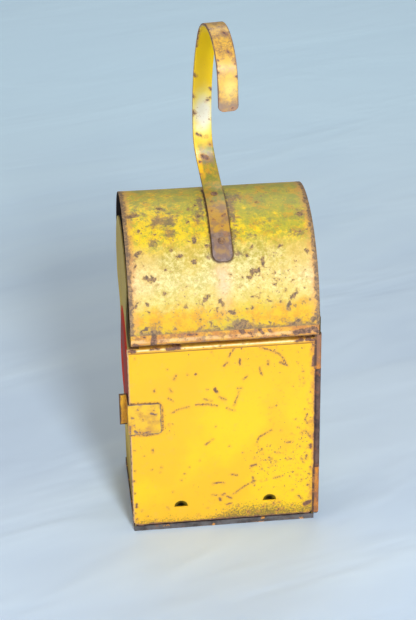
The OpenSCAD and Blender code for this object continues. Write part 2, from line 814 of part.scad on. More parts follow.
module wick() {
    color([0.85, 0.82, 0.72])
        block([-wick_t / 2, lens_y - wick_w / 2, wick_foot], [wick_t / 2, lens_y + wick_w / 2, wick_top]);
}

// Milled screw cap on the filler neck
module filler_cap() {
    r = neck_r + run_gap + cap_wall;
    z0 = fount_top + 1;
    z1 = washer_z + washer_t;
    color(brass) translate([filler_x, filler_y, z0]) difference() {
        cylinder(h = z1 + cap_top_t - z0, r = r);
        translate([0, 0, -1]) cylinder(h = z1 - z0 + 1, r = neck_r + run_gap);
        for (i = [0 : cap_n - 1]) rotate(i * 360 / cap_n)
            translate([r + 0.25, 0, -1]) cylinder(h = far, r = 0.7, $fn = 16);
    }
}

module filler_washer() {
    color(olive) translate([filler_x, filler_y, washer_z]) cylinder(h = washer_t, r = neck_r - 0.3);
}

base_pan();
back_panel();
end_plate_left();
end_plate_right();
front_header();
inner_roof();
cowl();
handle_strap();
handle_rivets();
hinge_leaf();
hinge_pin();
latch_catch();
lens_left();
lens_right();
lens_gaskets();
lens_rings();
lens_clips();
fount_guides();
fount_tank();
fount_lid();
burner_collar();
filler_neck();
burner_body();
wick_tube();
burner_dome();
door_panel();
latch_plate();
latch_spring();
winder_spindle();
winder_wheel();
winder_knob();
wick();
filler_cap();
filler_washer();
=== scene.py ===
import math

import bmesh
import bpy
import numpy as np
from mathutils import Matrix, Vector


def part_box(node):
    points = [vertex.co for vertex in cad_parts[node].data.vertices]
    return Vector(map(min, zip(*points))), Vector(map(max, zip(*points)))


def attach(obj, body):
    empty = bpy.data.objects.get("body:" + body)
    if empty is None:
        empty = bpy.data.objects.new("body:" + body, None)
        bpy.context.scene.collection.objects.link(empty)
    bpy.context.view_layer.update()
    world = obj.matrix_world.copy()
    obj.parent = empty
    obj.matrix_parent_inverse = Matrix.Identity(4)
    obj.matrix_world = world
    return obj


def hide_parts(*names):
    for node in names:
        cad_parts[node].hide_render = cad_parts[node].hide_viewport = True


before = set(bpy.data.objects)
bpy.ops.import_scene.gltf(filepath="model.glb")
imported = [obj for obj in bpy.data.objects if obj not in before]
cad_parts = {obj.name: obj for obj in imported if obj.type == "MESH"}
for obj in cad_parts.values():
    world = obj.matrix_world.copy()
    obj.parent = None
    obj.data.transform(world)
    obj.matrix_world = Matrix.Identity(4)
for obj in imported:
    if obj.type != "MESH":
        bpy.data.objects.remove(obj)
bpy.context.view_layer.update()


# The view: from a step away, as a standing eye looks down at the lamp and sees its left end.
# A long lens, tilted down by 28 degrees.
def stood(name, data):
    """A new object in the scene."""
    made = bpy.data.objects.new(name, data)
    bpy.context.scene.collection.objects.link(made)
    return made


pitch, yaw, roll = math.radians(27.91), math.radians(5.89), math.radians(-0.87)
eye, focal_length, film_height = (-0.1386, -1.289, 0.8643), 68.4, 24
ahead = Vector((math.sin(yaw) * math.cos(pitch), math.cos(yaw) * math.cos(pitch), -math.sin(pitch)))
level = Vector((math.cos(yaw), -math.sin(yaw), 0))
above = level.cross(ahead)
across = math.cos(roll) * level + math.sin(roll) * above
upward = -math.sin(roll) * level + math.cos(roll) * above
lens = bpy.data.cameras.new("view")
lens.sensor_fit, lens.sensor_height, lens.lens, lens.clip_end = "VERTICAL", film_height, focal_length, 50
camera = stood("view", lens)
camera.matrix_world = Matrix.Translation(eye) @ Matrix((across, upward, -ahead)).transposed().to_4x4()
bpy.context.scene.camera = camera
bpy.context.scene.view_settings.view_transform = "Standard"


# The floor: a pale cool sheet that the lamp stands on, bluer far behind it, where it also glows
# faint blue as painted light. One broad soft lamp lights it from in front and above, weaker ones
# low in front, on the left and behind, and a pale sky.
class Value:
    """A shader socket. Python's operators on it add Math nodes."""

    def __init__(self, finish, socket):
        self.finish, self.socket = finish, socket

    def math(self, operation, *others):
        return self.finish.node("ShaderNodeMath", {"operation": operation}, dict(enumerate((self,) + others)))

    def __add__(self, other):
        return self.math("ADD", other)

    def __sub__(self, other):
        return self.math("SUBTRACT", other)

    def __mul__(self, other):
        return self.math("MULTIPLY", other)

    def __rsub__(self, other):
        return (self * -1) + other

    def __abs__(self):
        return self.math("ABSOLUTE")

    __radd__ = __add__
    __rmul__ = __mul__

    def most(self, other):
        return self.math("MAXIMUM", other)

    def least(self, other):
        return self.math("MINIMUM", other)

    def step(self, low, high):
        """A mask that rises smoothly from low to high, or falls where low is the greater."""
        return self.finish.node("ShaderNodeMapRange", {"interpolation_type": "SMOOTHSTEP"}, {
            "Value": self, "From Min": low, "From Max": high})


def tint(red, green, blue):
    """A colour as the eye reads it, from 0 to 255, as linear light."""
    linear = [v / 3294.6 if v < 10.31 else ((v / 255 + 0.055) / 1.055) ** 2.4 for v in (red, green, blue)]
    return (*linear, 1)


class Finish:
    """One material. It reads object coordinates and ends in a Principled shader."""

    def __init__(self, name, **fixed):
        self.material = bpy.data.materials.new(name)
        self.material.use_nodes = True
        self.tree = self.material.node_tree
        self.shader = self.tree.nodes["Principled BSDF"]
        for key, value in fixed.items():
            self.shader.inputs[key.replace("_", " ").title().replace("Ior", "IOR")].default_value = value
        self.place = self.node("ShaderNodeTexCoord", {}, {}, "Object")
        self.x, self.y, self.z = (
            self.node("ShaderNodeSeparateXYZ", {}, {0: self.place}, axis) for axis in "XYZ")

    def node(self, kind, settings, inputs, output=0):
        made = self.tree.nodes.new(kind)
        for key, value in settings.items():
            setattr(made, key, value)
        for key, value in inputs.items():
            if isinstance(value, Value):
                self.tree.links.new(value.socket, made.inputs[key])
            else:
                made.inputs[key].default_value = value
        return Value(self, made.outputs[output])

    def noise(self, scale, detail=3, rough=0.55, seed=0, where=None, warp=0):
        return self.node("ShaderNodeTexNoise", {"noise_dimensions": "4D"}, {
            "Vector": where or self.place, "W": seed * 3.7, "Scale": scale, "Detail": detail,
            "Roughness": rough, "Distortion": warp})

    def stray(self, scale, detail, rough, seed, by):
        """Noise round nought, that moves an edge by up to half of by either way."""
        return (self.noise(scale, detail, rough, seed) - 0.5) * by

    def stretched(self, x, y, z):
        return self.node("ShaderNodeVectorMath", {"operation": "MULTIPLY"}, {0: self.place, 1: (x, y, z)})

    def from_axis(self, y, z):
        """Distance in m from a line along X, at y and z in mm."""
        offset = self.node("ShaderNodeCombineXYZ", {}, {"Y": self.y - y / 1000, "Z": self.z - z / 1000})
        return self.node("ShaderNodeVectorMath", {"operation": "LENGTH"}, {0: offset}, "Value")

    def flecks(self, scale, detail, rough, seed, low, high, where=None):
        """A mask of noise between two levels."""
        return self.noise(scale, detail, rough, seed, where).step(low, high)

    def mix(self, first, second, amount):
        """Two colours mixed, each a Value or what tint takes."""
        first, second = (c if isinstance(c, Value) else tint(*c) for c in (first, second))
        return self.node("ShaderNodeMix", {"data_type": "RGBA"}, {0: amount, 6: first, 7: second}, 2)

    def coats(self, ground, *layers):
        """Colours laid over a ground one after another, each with its mask."""
        for colour, mask in layers:
            ground = self.mix(ground, colour, mask)
        return ground

    def painted(self, name):
        return self.node("ShaderNodeAttribute", {"attribute_name": name}, {}, "Fac")

    def end(self, colour, rough, height, depth=0.0004, **more):
        """Links what varies to the shader; depth is the relief's in m."""
        relief = self.node(
            "ShaderNodeBump", {}, {"Strength": 1.0, "Distance": depth, "Height": height}, "Normal")
        for key, value in {"Base Color": colour, "Roughness": rough, "Normal": relief, **more}.items():
            self.tree.links.new(value.socket, self.shader.inputs[key])
        return self.material


cloth = Finish("pale_floor", emission_strength=1.0)
slant = cloth.node("ShaderNodeCombineXYZ", {}, {
    "X": cloth.x * 0.9 + cloth.y * 0.3, "Y": cloth.y * 2.6 - cloth.x * 0.9})
folds, far = cloth.noise(3.2, 3, 0.55, 1, slant, warp=0.5), cloth.y.step(0.1, 1.1)
floor_shade = cloth.coats(
    (206, 225, 248), ((218, 236, 255), folds.step(0.35, 0.65)), ((224, 250, 255), far * 0.85))
# Painted light: far back the floor glows a faint blue, seen by the camera and in reflections.
seen = sum(cloth.node("ShaderNodeLightPath", {}, {}, ray) for ray in (
    "Is Camera Ray", "Is Glossy Ray", "Is Transmission Ray"))
far_blue_glow = cloth.mix((0, 0, 0), (29, 56, 97), far * seen)
cloth.end(floor_shade, cloth.noise(30, 2) * 0.1 + 0.85, folds, 0.007, **{"Emission Color": far_blue_glow})
floor_mesh = bpy.data.meshes.new("floor")
floor_mesh.from_pydata([(-4, -3, 0), (4, -3, 0), (4, 6, 0), (-4, 6, 0)], [], [(0, 1, 2, 3)])
floor_mesh.materials.append(cloth.material)
floor = stood("floor", floor_mesh)
for name, at, aim, size, power, colour in (
        ("front_lamp", (0.2, -1.3, 0.98), (0, 0, 0.18), 0.32, 16.6, (0.88, 0.95, 1)),
        ("low_lamp", (0.1, -1.5, 0.3), (0, 0, 0.25), 0.8, 5, (1, 0.95, 0.84)),
        ("left_lamp", (-1.8, -0.6, 1.0), (0, 0, 0.2), 1.2, 4.2, (1, 0.96, 0.86)),
        ("top_lamp", (0.2, 1.4, 2.0), (0, 0.6, 0), 1.4, 10, (0.78, 0.91, 1))):
    light = bpy.data.lights.new(name, "AREA")
    light.shape, light.size, light.energy, light.color = "DISK", size, power, colour
    lamp = stood(name, light)
    lamp.location = at
    lamp.rotation_euler = (Vector(aim) - Vector(at)).to_track_quat("-Z", "Y").to_euler()
sky = bpy.data.worlds.new("sky")
bpy.context.scene.world = sky
sky.use_nodes = True
sky_light = sky.node_tree.nodes["Background"].inputs
sky_light["Color"].default_value, sky_light["Strength"].default_value = (1, 0.91, 0.8, 1), 0.33


# Base tray: one pressed sheet with a low turned-up rim, in which the case stands. It has
# lost most of its paint and is dark with rust and grime.
def rusted(name, light, dark, bloom, paint=None, grain=260, seed=0):
    """Rusted sheet: two browns, an orange bloom and, if given, traces of paint."""
    finish = Finish(name)
    patch, fine = finish.noise(grain * 0.3, 4, 0.6, seed), finish.noise(grain * 2.2, 3, 0.6, seed + 1)
    colour = finish.coats(light, (dark, (patch + fine * 0.3).step(0.5, 0.8)),
                          (bloom, finish.flecks(grain * 0.6, 4, 0.65, seed + 2, 0.55, 0.68) * 0.8))
    rough, height = 0.72 + fine * 0.2, fine + patch * 1.5
    if paint:
        traces = finish.noise(grain * 0.45, 4, 0.6, seed + 3) + finish.noise(45, 2, 0.5, seed) * 0.3
        left = traces.step(0.74, 0.79)
        colour, rough, height = finish.mix(colour, paint, left), rough - left * 0.35, height + left * 1.2
    return finish.end(colour, rough, height, 0.0003)


def dress(material, *names):
    """Gives CAD nodes their material."""
    for name in names:
        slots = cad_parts[name].data.materials
        slots.clear()
        slots.append(material)


dress(rusted("tray_rust", (104, 100, 102), (66, 60, 60), (128, 92, 70), (222, 150, 66)), "base_pan")


# Case sheets: both end plates and the back sheet, folded steel in the lamp's yellow enamel.
# Their sides are dull and streaked downwards, grimy at the foot and painted shade-black under the cowl's front.
def enamel(finish, ground, seed, dots=0.0, marked=True, worn=None, halo=(214, 140, 60),
           bare_light=(152, 112, 88), bare_dark=(92, 70, 64), gloss=0.34, rag=6.0, tear=300, depth=0.0004,
           soot_and_shade=None):
    """Chipped enamel over rust. dots is the crowd of rust specks, from -0.1 to 0.1, marked says that the
    piece has painted rust marks, worn and soot_and_shade are masks of rubbed edges and of soot-black that
    also stands for painted shade, and rag and tear say how torn the marks' outlines are and how finely."""
    fine = finish.noise(900, 2, 0.6, seed + 1)
    crowd = finish.flecks(22, 3, 0.6, seed + 4, 0.42, 0.68) * 0.09 + dots
    blotch = finish.noise(210, 4, 0.65, seed + 5, warp=0.3) + crowd
    speck = finish.noise(560, 2, 0.5, seed + 6) + crowd
    bare = blotch.step(0.745, 0.79).most(speck.step(0.77, 0.83) * 0.9)
    stain = blotch.step(0.66, 0.76).most(speck.step(0.7, 0.79) * 0.7)
    if marked:
        ragged = finish.painted("rust_reach") + finish.stray(tear, 5, 0.75, seed + 7, rag) + (fine - 0.5) * 1.6
        bare = bare.most(ragged.step(0.3, -0.5))
        stain = stain.most(ragged.step(1.8, 0.1) * 0.85)
    if worn is not None:
        bare = bare.most(worn)
    old = finish.mix(bare_light, bare_dark, finish.flecks(430, 4, 0.65, seed + 8, 0.4, 0.58))
    height = finish.noise(60, 2, 0.5, seed + 10) * 1.2 + fine * 0.1 - bare * 0.45 + bare * fine * 0.4
    colour = finish.coats(ground, (halo, stain * 0.6), (old, bare * 0.95))
    rough = gloss + fine * 0.12 + stain * 0.12 + bare * 0.3
    # Soot-black, which on the cowl's inside also stands for painted shade.
    if soot_and_shade is not None:
        soot = finish.mix((30, 26, 24), (66, 46, 34), finish.noise(90, 4, 0.6, seed + 10))
        colour, rough = finish.mix(colour, soot, soot_and_shade), rough + soot_and_shade * 0.5
    return finish.end(colour, rough, height, depth)


side = Finish("side_enamel", ior=1.1, specular_ior_level=0.1)
streaks = side.noise(1, 4, 0.6, 70, side.stretched(150, 150, 9))
cowl_shade_edge = side.y + side.z * 0.6 - 0.12 + side.stray(70, 4, 0.7, 74, 0.03)
side_ground = side.coats(
    (228, 198, 104), ((196, 172, 104), (streaks + side.z * 0.8).step(0.5, 0.82)),
    ((204, 184, 118), (side.z + streaks * 0.03).step(0.19, 0.21) * 0.8),
    ((160, 134, 84), side.flecks(1, 3, 0.6, 73, 0.54, 0.66, side.stretched(340, 340, 12)) * 0.5),
    ((104, 80, 44), (side.z + side.noise(60, 3) * 0.05).step(0.08, 0.02) * 0.7),
    # Painted shade: the plates' front corners under the cowl, near black.
    ((34, 22, 14), cowl_shade_edge.step(-0.03, -0.052) * side.z.step(0.164, 0.19) * 0.9))
dress(enamel(side, side_ground, 71, 0.01, False, gloss=0.55, depth=0.0005),
      "end_plate_left", "end_plate_right", "back_panel")

# Inner roof: an arched sheet with vent holes that closes the case under the cowl. It is
# black with soot and rust, and is seen only through the cowl's open ends.
dress(rusted("roof_soot", (46, 38, 34), (20, 17, 16), (84, 52, 32), seed=11), "inner_roof")


# Cowl: a half barrel of thin sheet over the case, held by the handle's rivets. Green with
# growth on top, pale where light and rain reach it, that pale band faded paint lightened further
# as a painted highlight, and rubbed bare along its open ends. A painted contact shadow rings the
# strap's foot, and its inside is soot-black that also stands for painted shade.
def span(node):
    """A CAD node's lowest and highest corners, in mm."""
    return [[v * 1000 for v in corner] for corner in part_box(node)]


def reach_of(u, v, marks):
    """Distance in mm from each point to the nearest mark, less its half width: (width, u, v, u, v...)."""
    best = np.full(np.broadcast(u, v).shape, 6.0)
    for width, *path in marks:
        points = list(zip(path[::2], path[1::2]))
        for (ua, va), (ub, vb) in zip(points, points[1:] or points):
            du, dv = ub - ua, vb - va
            t = np.clip(((u - ua) * du + (v - va) * dv) / max(du * du + dv * dv, 1e-9), 0, 1)
            best = np.minimum(best, np.hypot(u - ua - t * du, v - va - t * dv) - width / 2)
    return best


def clouds(u, v, spots):
    """Soft patches: (u, v, radius across, radius up, strength)."""
    total = np.zeros(np.broadcast(u, v).shape)
    for us, vs, ru, rv, strength in spots:
        total = np.maximum(total, strength * np.exp(-((u - us) / ru) ** 2 - ((v - vs) / rv) ** 2))
    return total


def waves(u, v, seed, reach):
    """Slow waviness of hand-worked sheet, about -1 to 1."""
    random = np.random.default_rng(seed)
    total = np.zeros(np.broadcast(u, v).shape)
    for _ in range(6):
        a, b, c = random.uniform(-1, 1, 3)
        total = total + np.sin((a * u + b * v) * 2 * math.pi / reach + c * 9)
    return total / 4


def skin(name, places, painted=None, keep=None, weld=2e-6, closed=False):
    """A mesh on a grid of points, given as x, y and z in mm, rows down and columns across, with painted values
    on its vertices. A closed one joins its last column to its first. One that isn't welded has flat ends."""
    points = np.stack(np.broadcast_arrays(*places), -1)
    size = points.shape[:2]
    index = np.arange(size[0] * size[1]).reshape(size)
    beside = np.roll(index, -1, axis=1)
    faces = np.stack([index[:-1], beside[:-1], beside[1:], index[1:]], -1)[:, :None if closed else -1]
    faces = (faces if keep is None else faces[keep]).reshape(-1, 4).tolist()
    if not weld:
        faces += [index[0, ::-1].tolist(), index[-1].tolist()]
    mesh = bpy.data.meshes.new(name)
    mesh.from_pydata((points.reshape(-1, 3) / 1000).tolist(), [], faces)
    for key, values in (painted or {}).items():
        layer = mesh.attributes.new(key, "FLOAT", "POINT")
        layer.data.foreach_set("value", np.broadcast_to(values, size).astype(np.float32).ravel())
    if weld:
        joined = bmesh.new()
        joined.from_mesh(mesh)
        bmesh.ops.remove_doubles(joined, verts=joined.verts, dist=weld)
        if closed:
            bmesh.ops.dissolve_degenerate(joined, edges=joined.edges, dist=weld)
        bmesh.ops.delete(joined, geom=[v for v in joined.verts if not v.link_faces], context="VERTS")
        joined.to_mesh(mesh)
        joined.free()
    mesh.polygons.foreach_set("use_smooth", [len(face.vertices) < 5 for face in mesh.polygons])
    return mesh


def thicken(piece, thick, round_off=0.25):
    """Gives a sheet its thickness behind its face, in mm, and softens its cut edges."""
    solid = piece.modifiers.new("thickness", "SOLIDIFY")
    solid.thickness, solid.offset = thick / 1000, -1
    soft = piece.modifiers.new("soft_edges", "BEVEL")
    soft.width, soft.segments, soft.harden_normals = round_off / 1000, 2, True
    soft.limit_method, soft.angle_limit = "ANGLE", math.radians(50)


def place(piece, material, body, slot, *replaced):
    """Dresses a finished piece and hands it to the frame."""
    piece.data.materials.clear()
    piece.data.materials.append(material)
    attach(piece, body)
    if replaced:
        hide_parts(*replaced)


(_, cowl_front, cowl_z), (cowl_end, cowl_back, _) = span("cowl")
cowl_r, cowl_y = (cowl_back - cowl_front) / 2, (cowl_back + cowl_front) / 2
strap_x, strap_half, foot_round, foot_arc, back_arc = 0.6, 8.0, 5.4, 61.2, 140
along, around = np.linspace(-cowl_end, cowl_end, 141), np.radians(np.linspace(0, 180, 221))[:, None]
arc = around * cowl_r
radius = cowl_r - 0.18 + 0.16 * waves(arc, along, 4, 70) * np.sin(around) ** 0.5
# Rust marks: width, then each point's mm from the middle and mm up the curve from the front edge
cowl_marks = [
    (5, -60, 46, -55, 45), (2, -52, 41), (4, -67, 65, -64, 67), (3, -35, 62, -32, 63), (4, -22, 57),
    (3.5, -20, 73, -20, 77), (3, -39, 68), (3, -64, 86), (3, -24, 93), (3, -22, 107), (4, -15, 99),
    (3, -11, 70), (5, -66, 103, -70, 102), (3, -47, 33), (2, -31, 30), (3, -31, 22), (3, -61, 26),
    (3, -69, 25, -68, 28), (2, -60, 20), (3, -17, 24, -13, 30), (3, -4, 26, -2, 22), (3.5, 3, 16, 7, 15),
    (2, -5, 11), (2.5, -6, 19), (7, 10, 3, 14, 5), (4, -62, 6), (6, -56, 2), (4, -66, 3), (2.5, 13, 35),
    (2.5, 15, 43), (3, 19, 42, 21, 42), (5, 24, 47, 27, 47), (2.6, 32, 51, 32, 56), (3, 24, 67), (4, 46, 66),
    (3, 67, 60), (5, 66, 95), (3, 34, 112), (1.8, 22, 27, 27, 27), (4, 35, 23), (1.6, 42, 30), (2.5, 48, 31),
    (2.2, 55, 38), (3, 52, 23, 58, 29), (4, 50, 16, 51, 19), (2, 39, 17), (2, 55, 18), (2, 18, 17),
    (3, 21, 18), (3, 35, 5), (4, 53, 2, 58, 5), (5, 70, 5), (1.8, -20, 10), (2, 6, 45), (2, 44, 22),
    (2.4, 62, 20), (2.4, 67, 22), (4, -45, 110), (3, 20, 60), (3, 64, 78), (2, -45, 52), (2, -70, 48),
    (2.4, -68, 56), (3, -40, 4), (3, -20, 3), (2.6, 28, 4), (3, -8, 5), (2, -37, 24), (4, 30, 150),
    (5, -40, 160), (3, 50, 172), (6, -10, 190), (4, 22, 205), (4, -60, 214), (5, 60, 236)]
cloud_marks = [
    (-46, 95, 9, 8, 1), (-37, 97, 7, 9, 0.9), (-53, 75, 5, 5, 0.8), (-39, 83, 6, 6, 0.7),
    (12, 105, 3.5, 26, 1), (11, 75, 3, 12, 0.6), (-12, 112, 3, 22, 0.8), (24, 76, 6, 4, 0.6),
    (60, 77, 7, 5, 0.6), (-44, 108, 7, 6, 0.6), (-56, 2, 12, 6, 0.7), (12, 4, 14, 6, 0.9), (56, 4, 14, 5, 0.6),
    (-65, 104, 8, 6, 0.7), (40, 90, 9, 7, 0.4), (-16, 97, 6, 9, 0.6), (66, 97, 7, 8, 0.6),
    (16, 120, 8, 9, 0.8), (-10, 60, 3, 4, 0.8), (12, 61, 5, 3, 0.8), (-71, 60, 3, 30, 0.6),
    (72, 40, 3, 40, 0.5), (34, 114, 6, 5, 0.5), (-20, 170, 30, 20, 0.6), (40, 200, 26, 18, 0.7)]
rain_marks = [(0, 40, 6, 17, 1), (1, 28, 5, 12, 0.6), (-3, 48, 5, 6, 0.8)]
foot_side, foot_up = np.abs(along - strap_x), np.maximum(0, foot_arc - arc)
foot_gap = np.where(
    arc < foot_arc, np.hypot(np.maximum(0, foot_side - strap_half + foot_round), foot_up) - foot_round,
    foot_side - strap_half)
cowl = stood("cowl_sheet", skin("cowl_sheet", (
    along, cowl_y - radius * np.cos(around), cowl_z + radius * np.sin(around)), {
        "rust_reach": reach_of(along, arc, cowl_marks) + 0.4, "cloud": clouds(along, arc, cloud_marks),
        "rain": clouds(along, arc, rain_marks), "up": arc / 100,
        "foot_gap": np.where(arc > back_arc, 6, np.maximum(0, foot_gap))}))
thicken(cowl, 1.0)
barrel = Finish("cowl_enamel")
height_up = barrel.painted("up")
up = height_up + barrel.stray(90, 5, 0.75, 24, 0.3)
broad, middling, flakes = (
    barrel.noise(42, 3, 0.6, 21), barrel.noise(120, 5, 0.75, 22), barrel.noise(330, 5, 0.8, 23))
gold = barrel.coats(
    (228, 184, 16), ((222, 160, 22), middling.step(0.42, 0.6)),
    ((206, 188, 56), (barrel.noise(30, 2, 0.5, 26) + flakes * 0.4).step(0.7, 0.84) * 0.7),
    ((176, 128, 70), flakes.step(0.58, 0.7) * 0.5))
# Pale band up the front: faded paint, lightened further as a painted highlight where the light falls.
pale = barrel.coats(
    (248, 234, 164), ((190, 170, 66), (flakes * 0.6 + middling * 0.4).step(0.38, 0.58)),
    ((244, 206, 142), (abs(barrel.x - 0.004) + (broad - 0.5) * 0.06).step(0.04, 0.07) * 0.5),
    ((222, 186, 60), broad.step(0.42, 0.6) * 0.45),
    ((176, 160, 86), barrel.flecks(520, 4, 0.75, 27, 0.55, 0.66) * 0.55),
    ((220, 192, 78), up.step(0.44, 0.26) * 0.5))
high = height_up.step(0.6, 1.5) * 0.11 + barrel.x * 0.7
green = barrel.coats(
    (250, 214, 38), ((192, 182, 58), (flakes * 0.35 + middling * 0.65 + high).step(0.46, 0.58)),
    ((156, 158, 68), (barrel.noise(75, 5, 0.75, 30) + high * 0.7).step(0.52, 0.62) * 0.7),
    ((224, 166, 42), barrel.flecks(85, 5, 0.8, 32, 0.5, 0.6) * 0.65),
    ((232, 194, 52), barrel.flecks(240, 5, 0.8, 20, 0.53, 0.63) * 0.55),
    ((146, 108, 78), barrel.flecks(180, 5, 0.8, 31, 0.56, 0.64) * 0.65))
behind = 1 - height_up.step(1.9, 1.4)
dusk = (barrel.painted("cloud") + (flakes - 0.5) * 2.6 + (middling - 0.5) * 1.6).step(0.25, 0.85)
# A painted contact shadow round the strap's foot.
foot_contact_shadow = (barrel.painted("foot_gap") + barrel.stray(160, 5, 0.75, 37, 5)).step(2.2, 0.4)
ragged, from_end = barrel.stray(180, 5, 0.78, 35, 0.012), cowl_end / 1000 - abs(barrel.x)
cowl_ground = barrel.coats(
    gold, (pale, up.step(0.16, 0.27) * 0.92), (green, up.step(0.6, 0.8)),
    ((128, 126, 70), behind * barrel.flecks(40, 4, 0.7, 29, 0.4, 0.6) * 0.7),
    (barrel.mix((166, 122, 88), (116, 96, 84), middling.step(0.42, 0.58)), dusk * 0.8),
    ((240, 186, 142), barrel.painted("rain") * barrel.flecks(110, 4, 0.65, 34, 0.2, 0.5) * 0.8),
    ((80, 48, 32), foot_contact_shadow * 0.9),
    ((226, 158, 84), (from_end + ragged * 1.6).step(0.009, 0.003) * 0.65))
worn_ends = (from_end + ragged).step(0.0042, 0.0022)
worn_hem = (height_up * 0.1 + ragged * 1.5 + (broad - 0.5) * 0.01).step(0.0034, 0.0008) * 0.85
# The cowl's inside: painted soot-black that also stands for the shade under the cowl.
inside_soot_and_shade = barrel.from_axis(cowl_y, cowl_z).step(cowl_r / 1000 - 0.0006, cowl_r / 1000 - 0.0008)
place(cowl, enamel(
    barrel, cowl_ground, 36, 0.048, True, worn_ends.most(worn_hem), (196, 150, 84), (164, 130, 92),
    (108, 90, 78), gloss=0.4, rag=13.0, tear=330, depth=0.0005, soot_and_shade=inside_soot_and_shade),
    "case", "yellow_paint", "cowl")


# Front strip: the sheet between cowl and door, bent back under the cowl as a shelf and
# then down as a stop behind the door's top. It has stayed orange, with rust at its ends and
# a painted glint along its face just above the lower bend.
def filleted(points, radius, steps=5):
    """A bent line in a plane, each corner rounded with an arc."""
    path = [points[0]]
    for before, corner, after in zip(points, points[1:], points[2:]):
        corner = Vector(corner)
        back, onward = Vector(before) - corner, Vector(after) - corner
        half = back.angle(onward) / 2
        length = min(radius / math.tan(half), back.length * 0.45, onward.length * 0.45)
        r = length * math.tan(half)
        back, onward = back.normalized(), onward.normalized()
        middle = corner + (back + onward).normalized() * (r / math.sin(half))
        first, last = corner + back * length - middle, corner + onward * length - middle
        path += [tuple(middle + first.slerp(last, i / steps).normalized() * r) for i in range(steps + 1)]
    return path + [points[-1]]


def lines(start, stop, pitch, *fine):
    """Grid lines across a sheet, closer together at its details: (from, to, pitch)."""
    marks = list(np.arange(start, stop, pitch)) + [stop]
    for low, high, step in fine:
        marks = [m for m in marks if not low < m < high] + list(np.arange(low, high + step / 2, step))
    kept = []
    for mark in sorted(marks):
        if not kept or mark - kept[-1] > 0.12:
            kept.append(mark)
    kept[-1] = stop
    return np.array(kept)


(header_left, strip_y, stop_z), (header_right, stop_back, header_top) = span("front_header")
stop_y, shelf_z, strip_z, lap_y = stop_back - 1, 178.0, 189.5, -76.78
strip_path = filleted([(stop_y, stop_z), (stop_y, shelf_z), (strip_y + 1.8, strip_z), (strip_y, strip_z + 2),
                       (strip_y, cowl_z), (lap_y, header_top)], 1.4)
strip_rows = []
for (ya, za), (yb, zb) in zip(strip_path, strip_path[1:]):
    cuts = max(1, round(math.hypot(yb - ya, zb - za) / 1.2))
    strip_rows += [(ya + (yb - ya) * i / cuts, za + (zb - za) * i / cuts) for i in range(cuts)]
strip_rows = np.array(strip_rows + [strip_path[-1]])
strip_ys, strip_zs = strip_rows[:, :1], strip_rows[:, 1:]
strip_x = lines(header_left, header_right, 1.25)
# Rust marks: width, then each point's mm from the middle and mm above the base
strip_marks = [
    (5, -57, 191, -56, 199), (3, -72, 192, -68, 190), (2.5, -46, 190, -38, 190.5), (2, -30, 198, -22, 198),
    (4, 12, 199, 14, 197), (2, 18, 197, 22, 193), (2.5, 27, 199, 30, 195), (2, 34, 198, 37, 196),
    (5, 56, 194, 66, 195), (4, 70, 197, 74, 193), (2, 46, 192, 50, 191), (2, -12, 190, -6, 190), (2, 2, 190),
    (1.5, 8, 194), (2, 40, 191, 44, 190), (2, -20, 193), (2, -64, 198)]
header = stood("front_strip", skin("front_strip", (
    strip_x, strip_ys + 0.1 * waves(strip_x, strip_zs, 8, 40), strip_zs), {
        "rust_reach": reach_of(strip_x, strip_zs, strip_marks)}))
thicken(header, 1.0)
strip = Finish("strip_enamel")
# Painted glint: a pale line along the strip's face, a little above its lower bend.
painted_glint = abs(strip.z - 0.1942).step(0.0022, 0.0008) * strip.flecks(90, 4, 0.7, 51, 0.32, 0.5)
strip_ground = strip.coats(
    (234, 174, 56), ((204, 134, 62), strip.flecks(80, 4, 0.65, 50, 0.4, 0.6)), ((250, 214, 160), painted_glint * 0.5),
    ((158, 104, 74), strip.flecks(110, 5, 0.75, 52, 0.5, 0.61) * 0.75),
    ((122, 96, 92), strip.flecks(70, 5, 0.78, 53, 0.55, 0.62) * 0.6))
strip_worn = (strip.z + strip.stray(200, 3, 0.6, 53, 0.004)).step(0.1915, 0.1898) * 0.8
place(header, enamel(strip, strip_ground, 54, 0.06, True, strip_worn, depth=0.0005),
      "case", "yellow_paint", "front_header")

# Door: one pressed sheet, its edges folded back, a bead rolled along its top, and two
# half-moon louvres slit and pushed in near its foot. The cleanest paint on the lamp.
(door_left, _, door_foot), (_, fold_y, door_high) = span("door_panel")
(plate_in, _, _), (door_right, _, _) = span("end_plate_right")
door_y, door_top, sheet_t = span("latch_plate")[1][1], 175.8, 1.0
bend, corner, bead_r, fold_d = 1.2, 6.0, 2.2, fold_y - door_y
louvres, louvre_z, louvre_r, louvre_d = (-36.5, 38.7), 21.5, 6.0, 3.0
# An edge's fold, from its rim behind to the face: distance in from the edge, the same laid flat, depth
turns = np.radians((0, 22, 45, 67, 90))
fold_in = np.concatenate([[0, 0], bend * (1 - np.cos(turns))])
fold_flat = np.maximum(0, np.arange(7) - 2) / 4 * bend
fold_deep = np.concatenate([[fold_d, fold_d * 0.65], bend * (1 - np.sin(turns))])
curl = np.radians(np.arange(27, 181, 14))
bead_deep, bead_z = sheet_t - bead_r * np.sin(curl), door_top - bead_r - bead_r * np.cos(curl)
bead_deep = np.where(bead_z > door_top - 0.9, bead_deep, np.minimum(0, bead_deep))
face_x = lines(door_left + bend, door_right, 1.25, *[(x - 7, x + 7, 0.5) for x in louvres],
               (door_right - corner, door_right, 0.6))[1:]
face_x = np.sort(np.concatenate([face_x, door_left + corner * (1 - np.cos(np.radians((45, 58, 70, 80))))]))
face_z = lines(door_foot + bend, door_top - 2 * bead_r, 1.25, (louvre_z - 1, louvre_z + 7, 0.45))[1:]
slit = int(np.searchsorted(face_z, louvre_z))
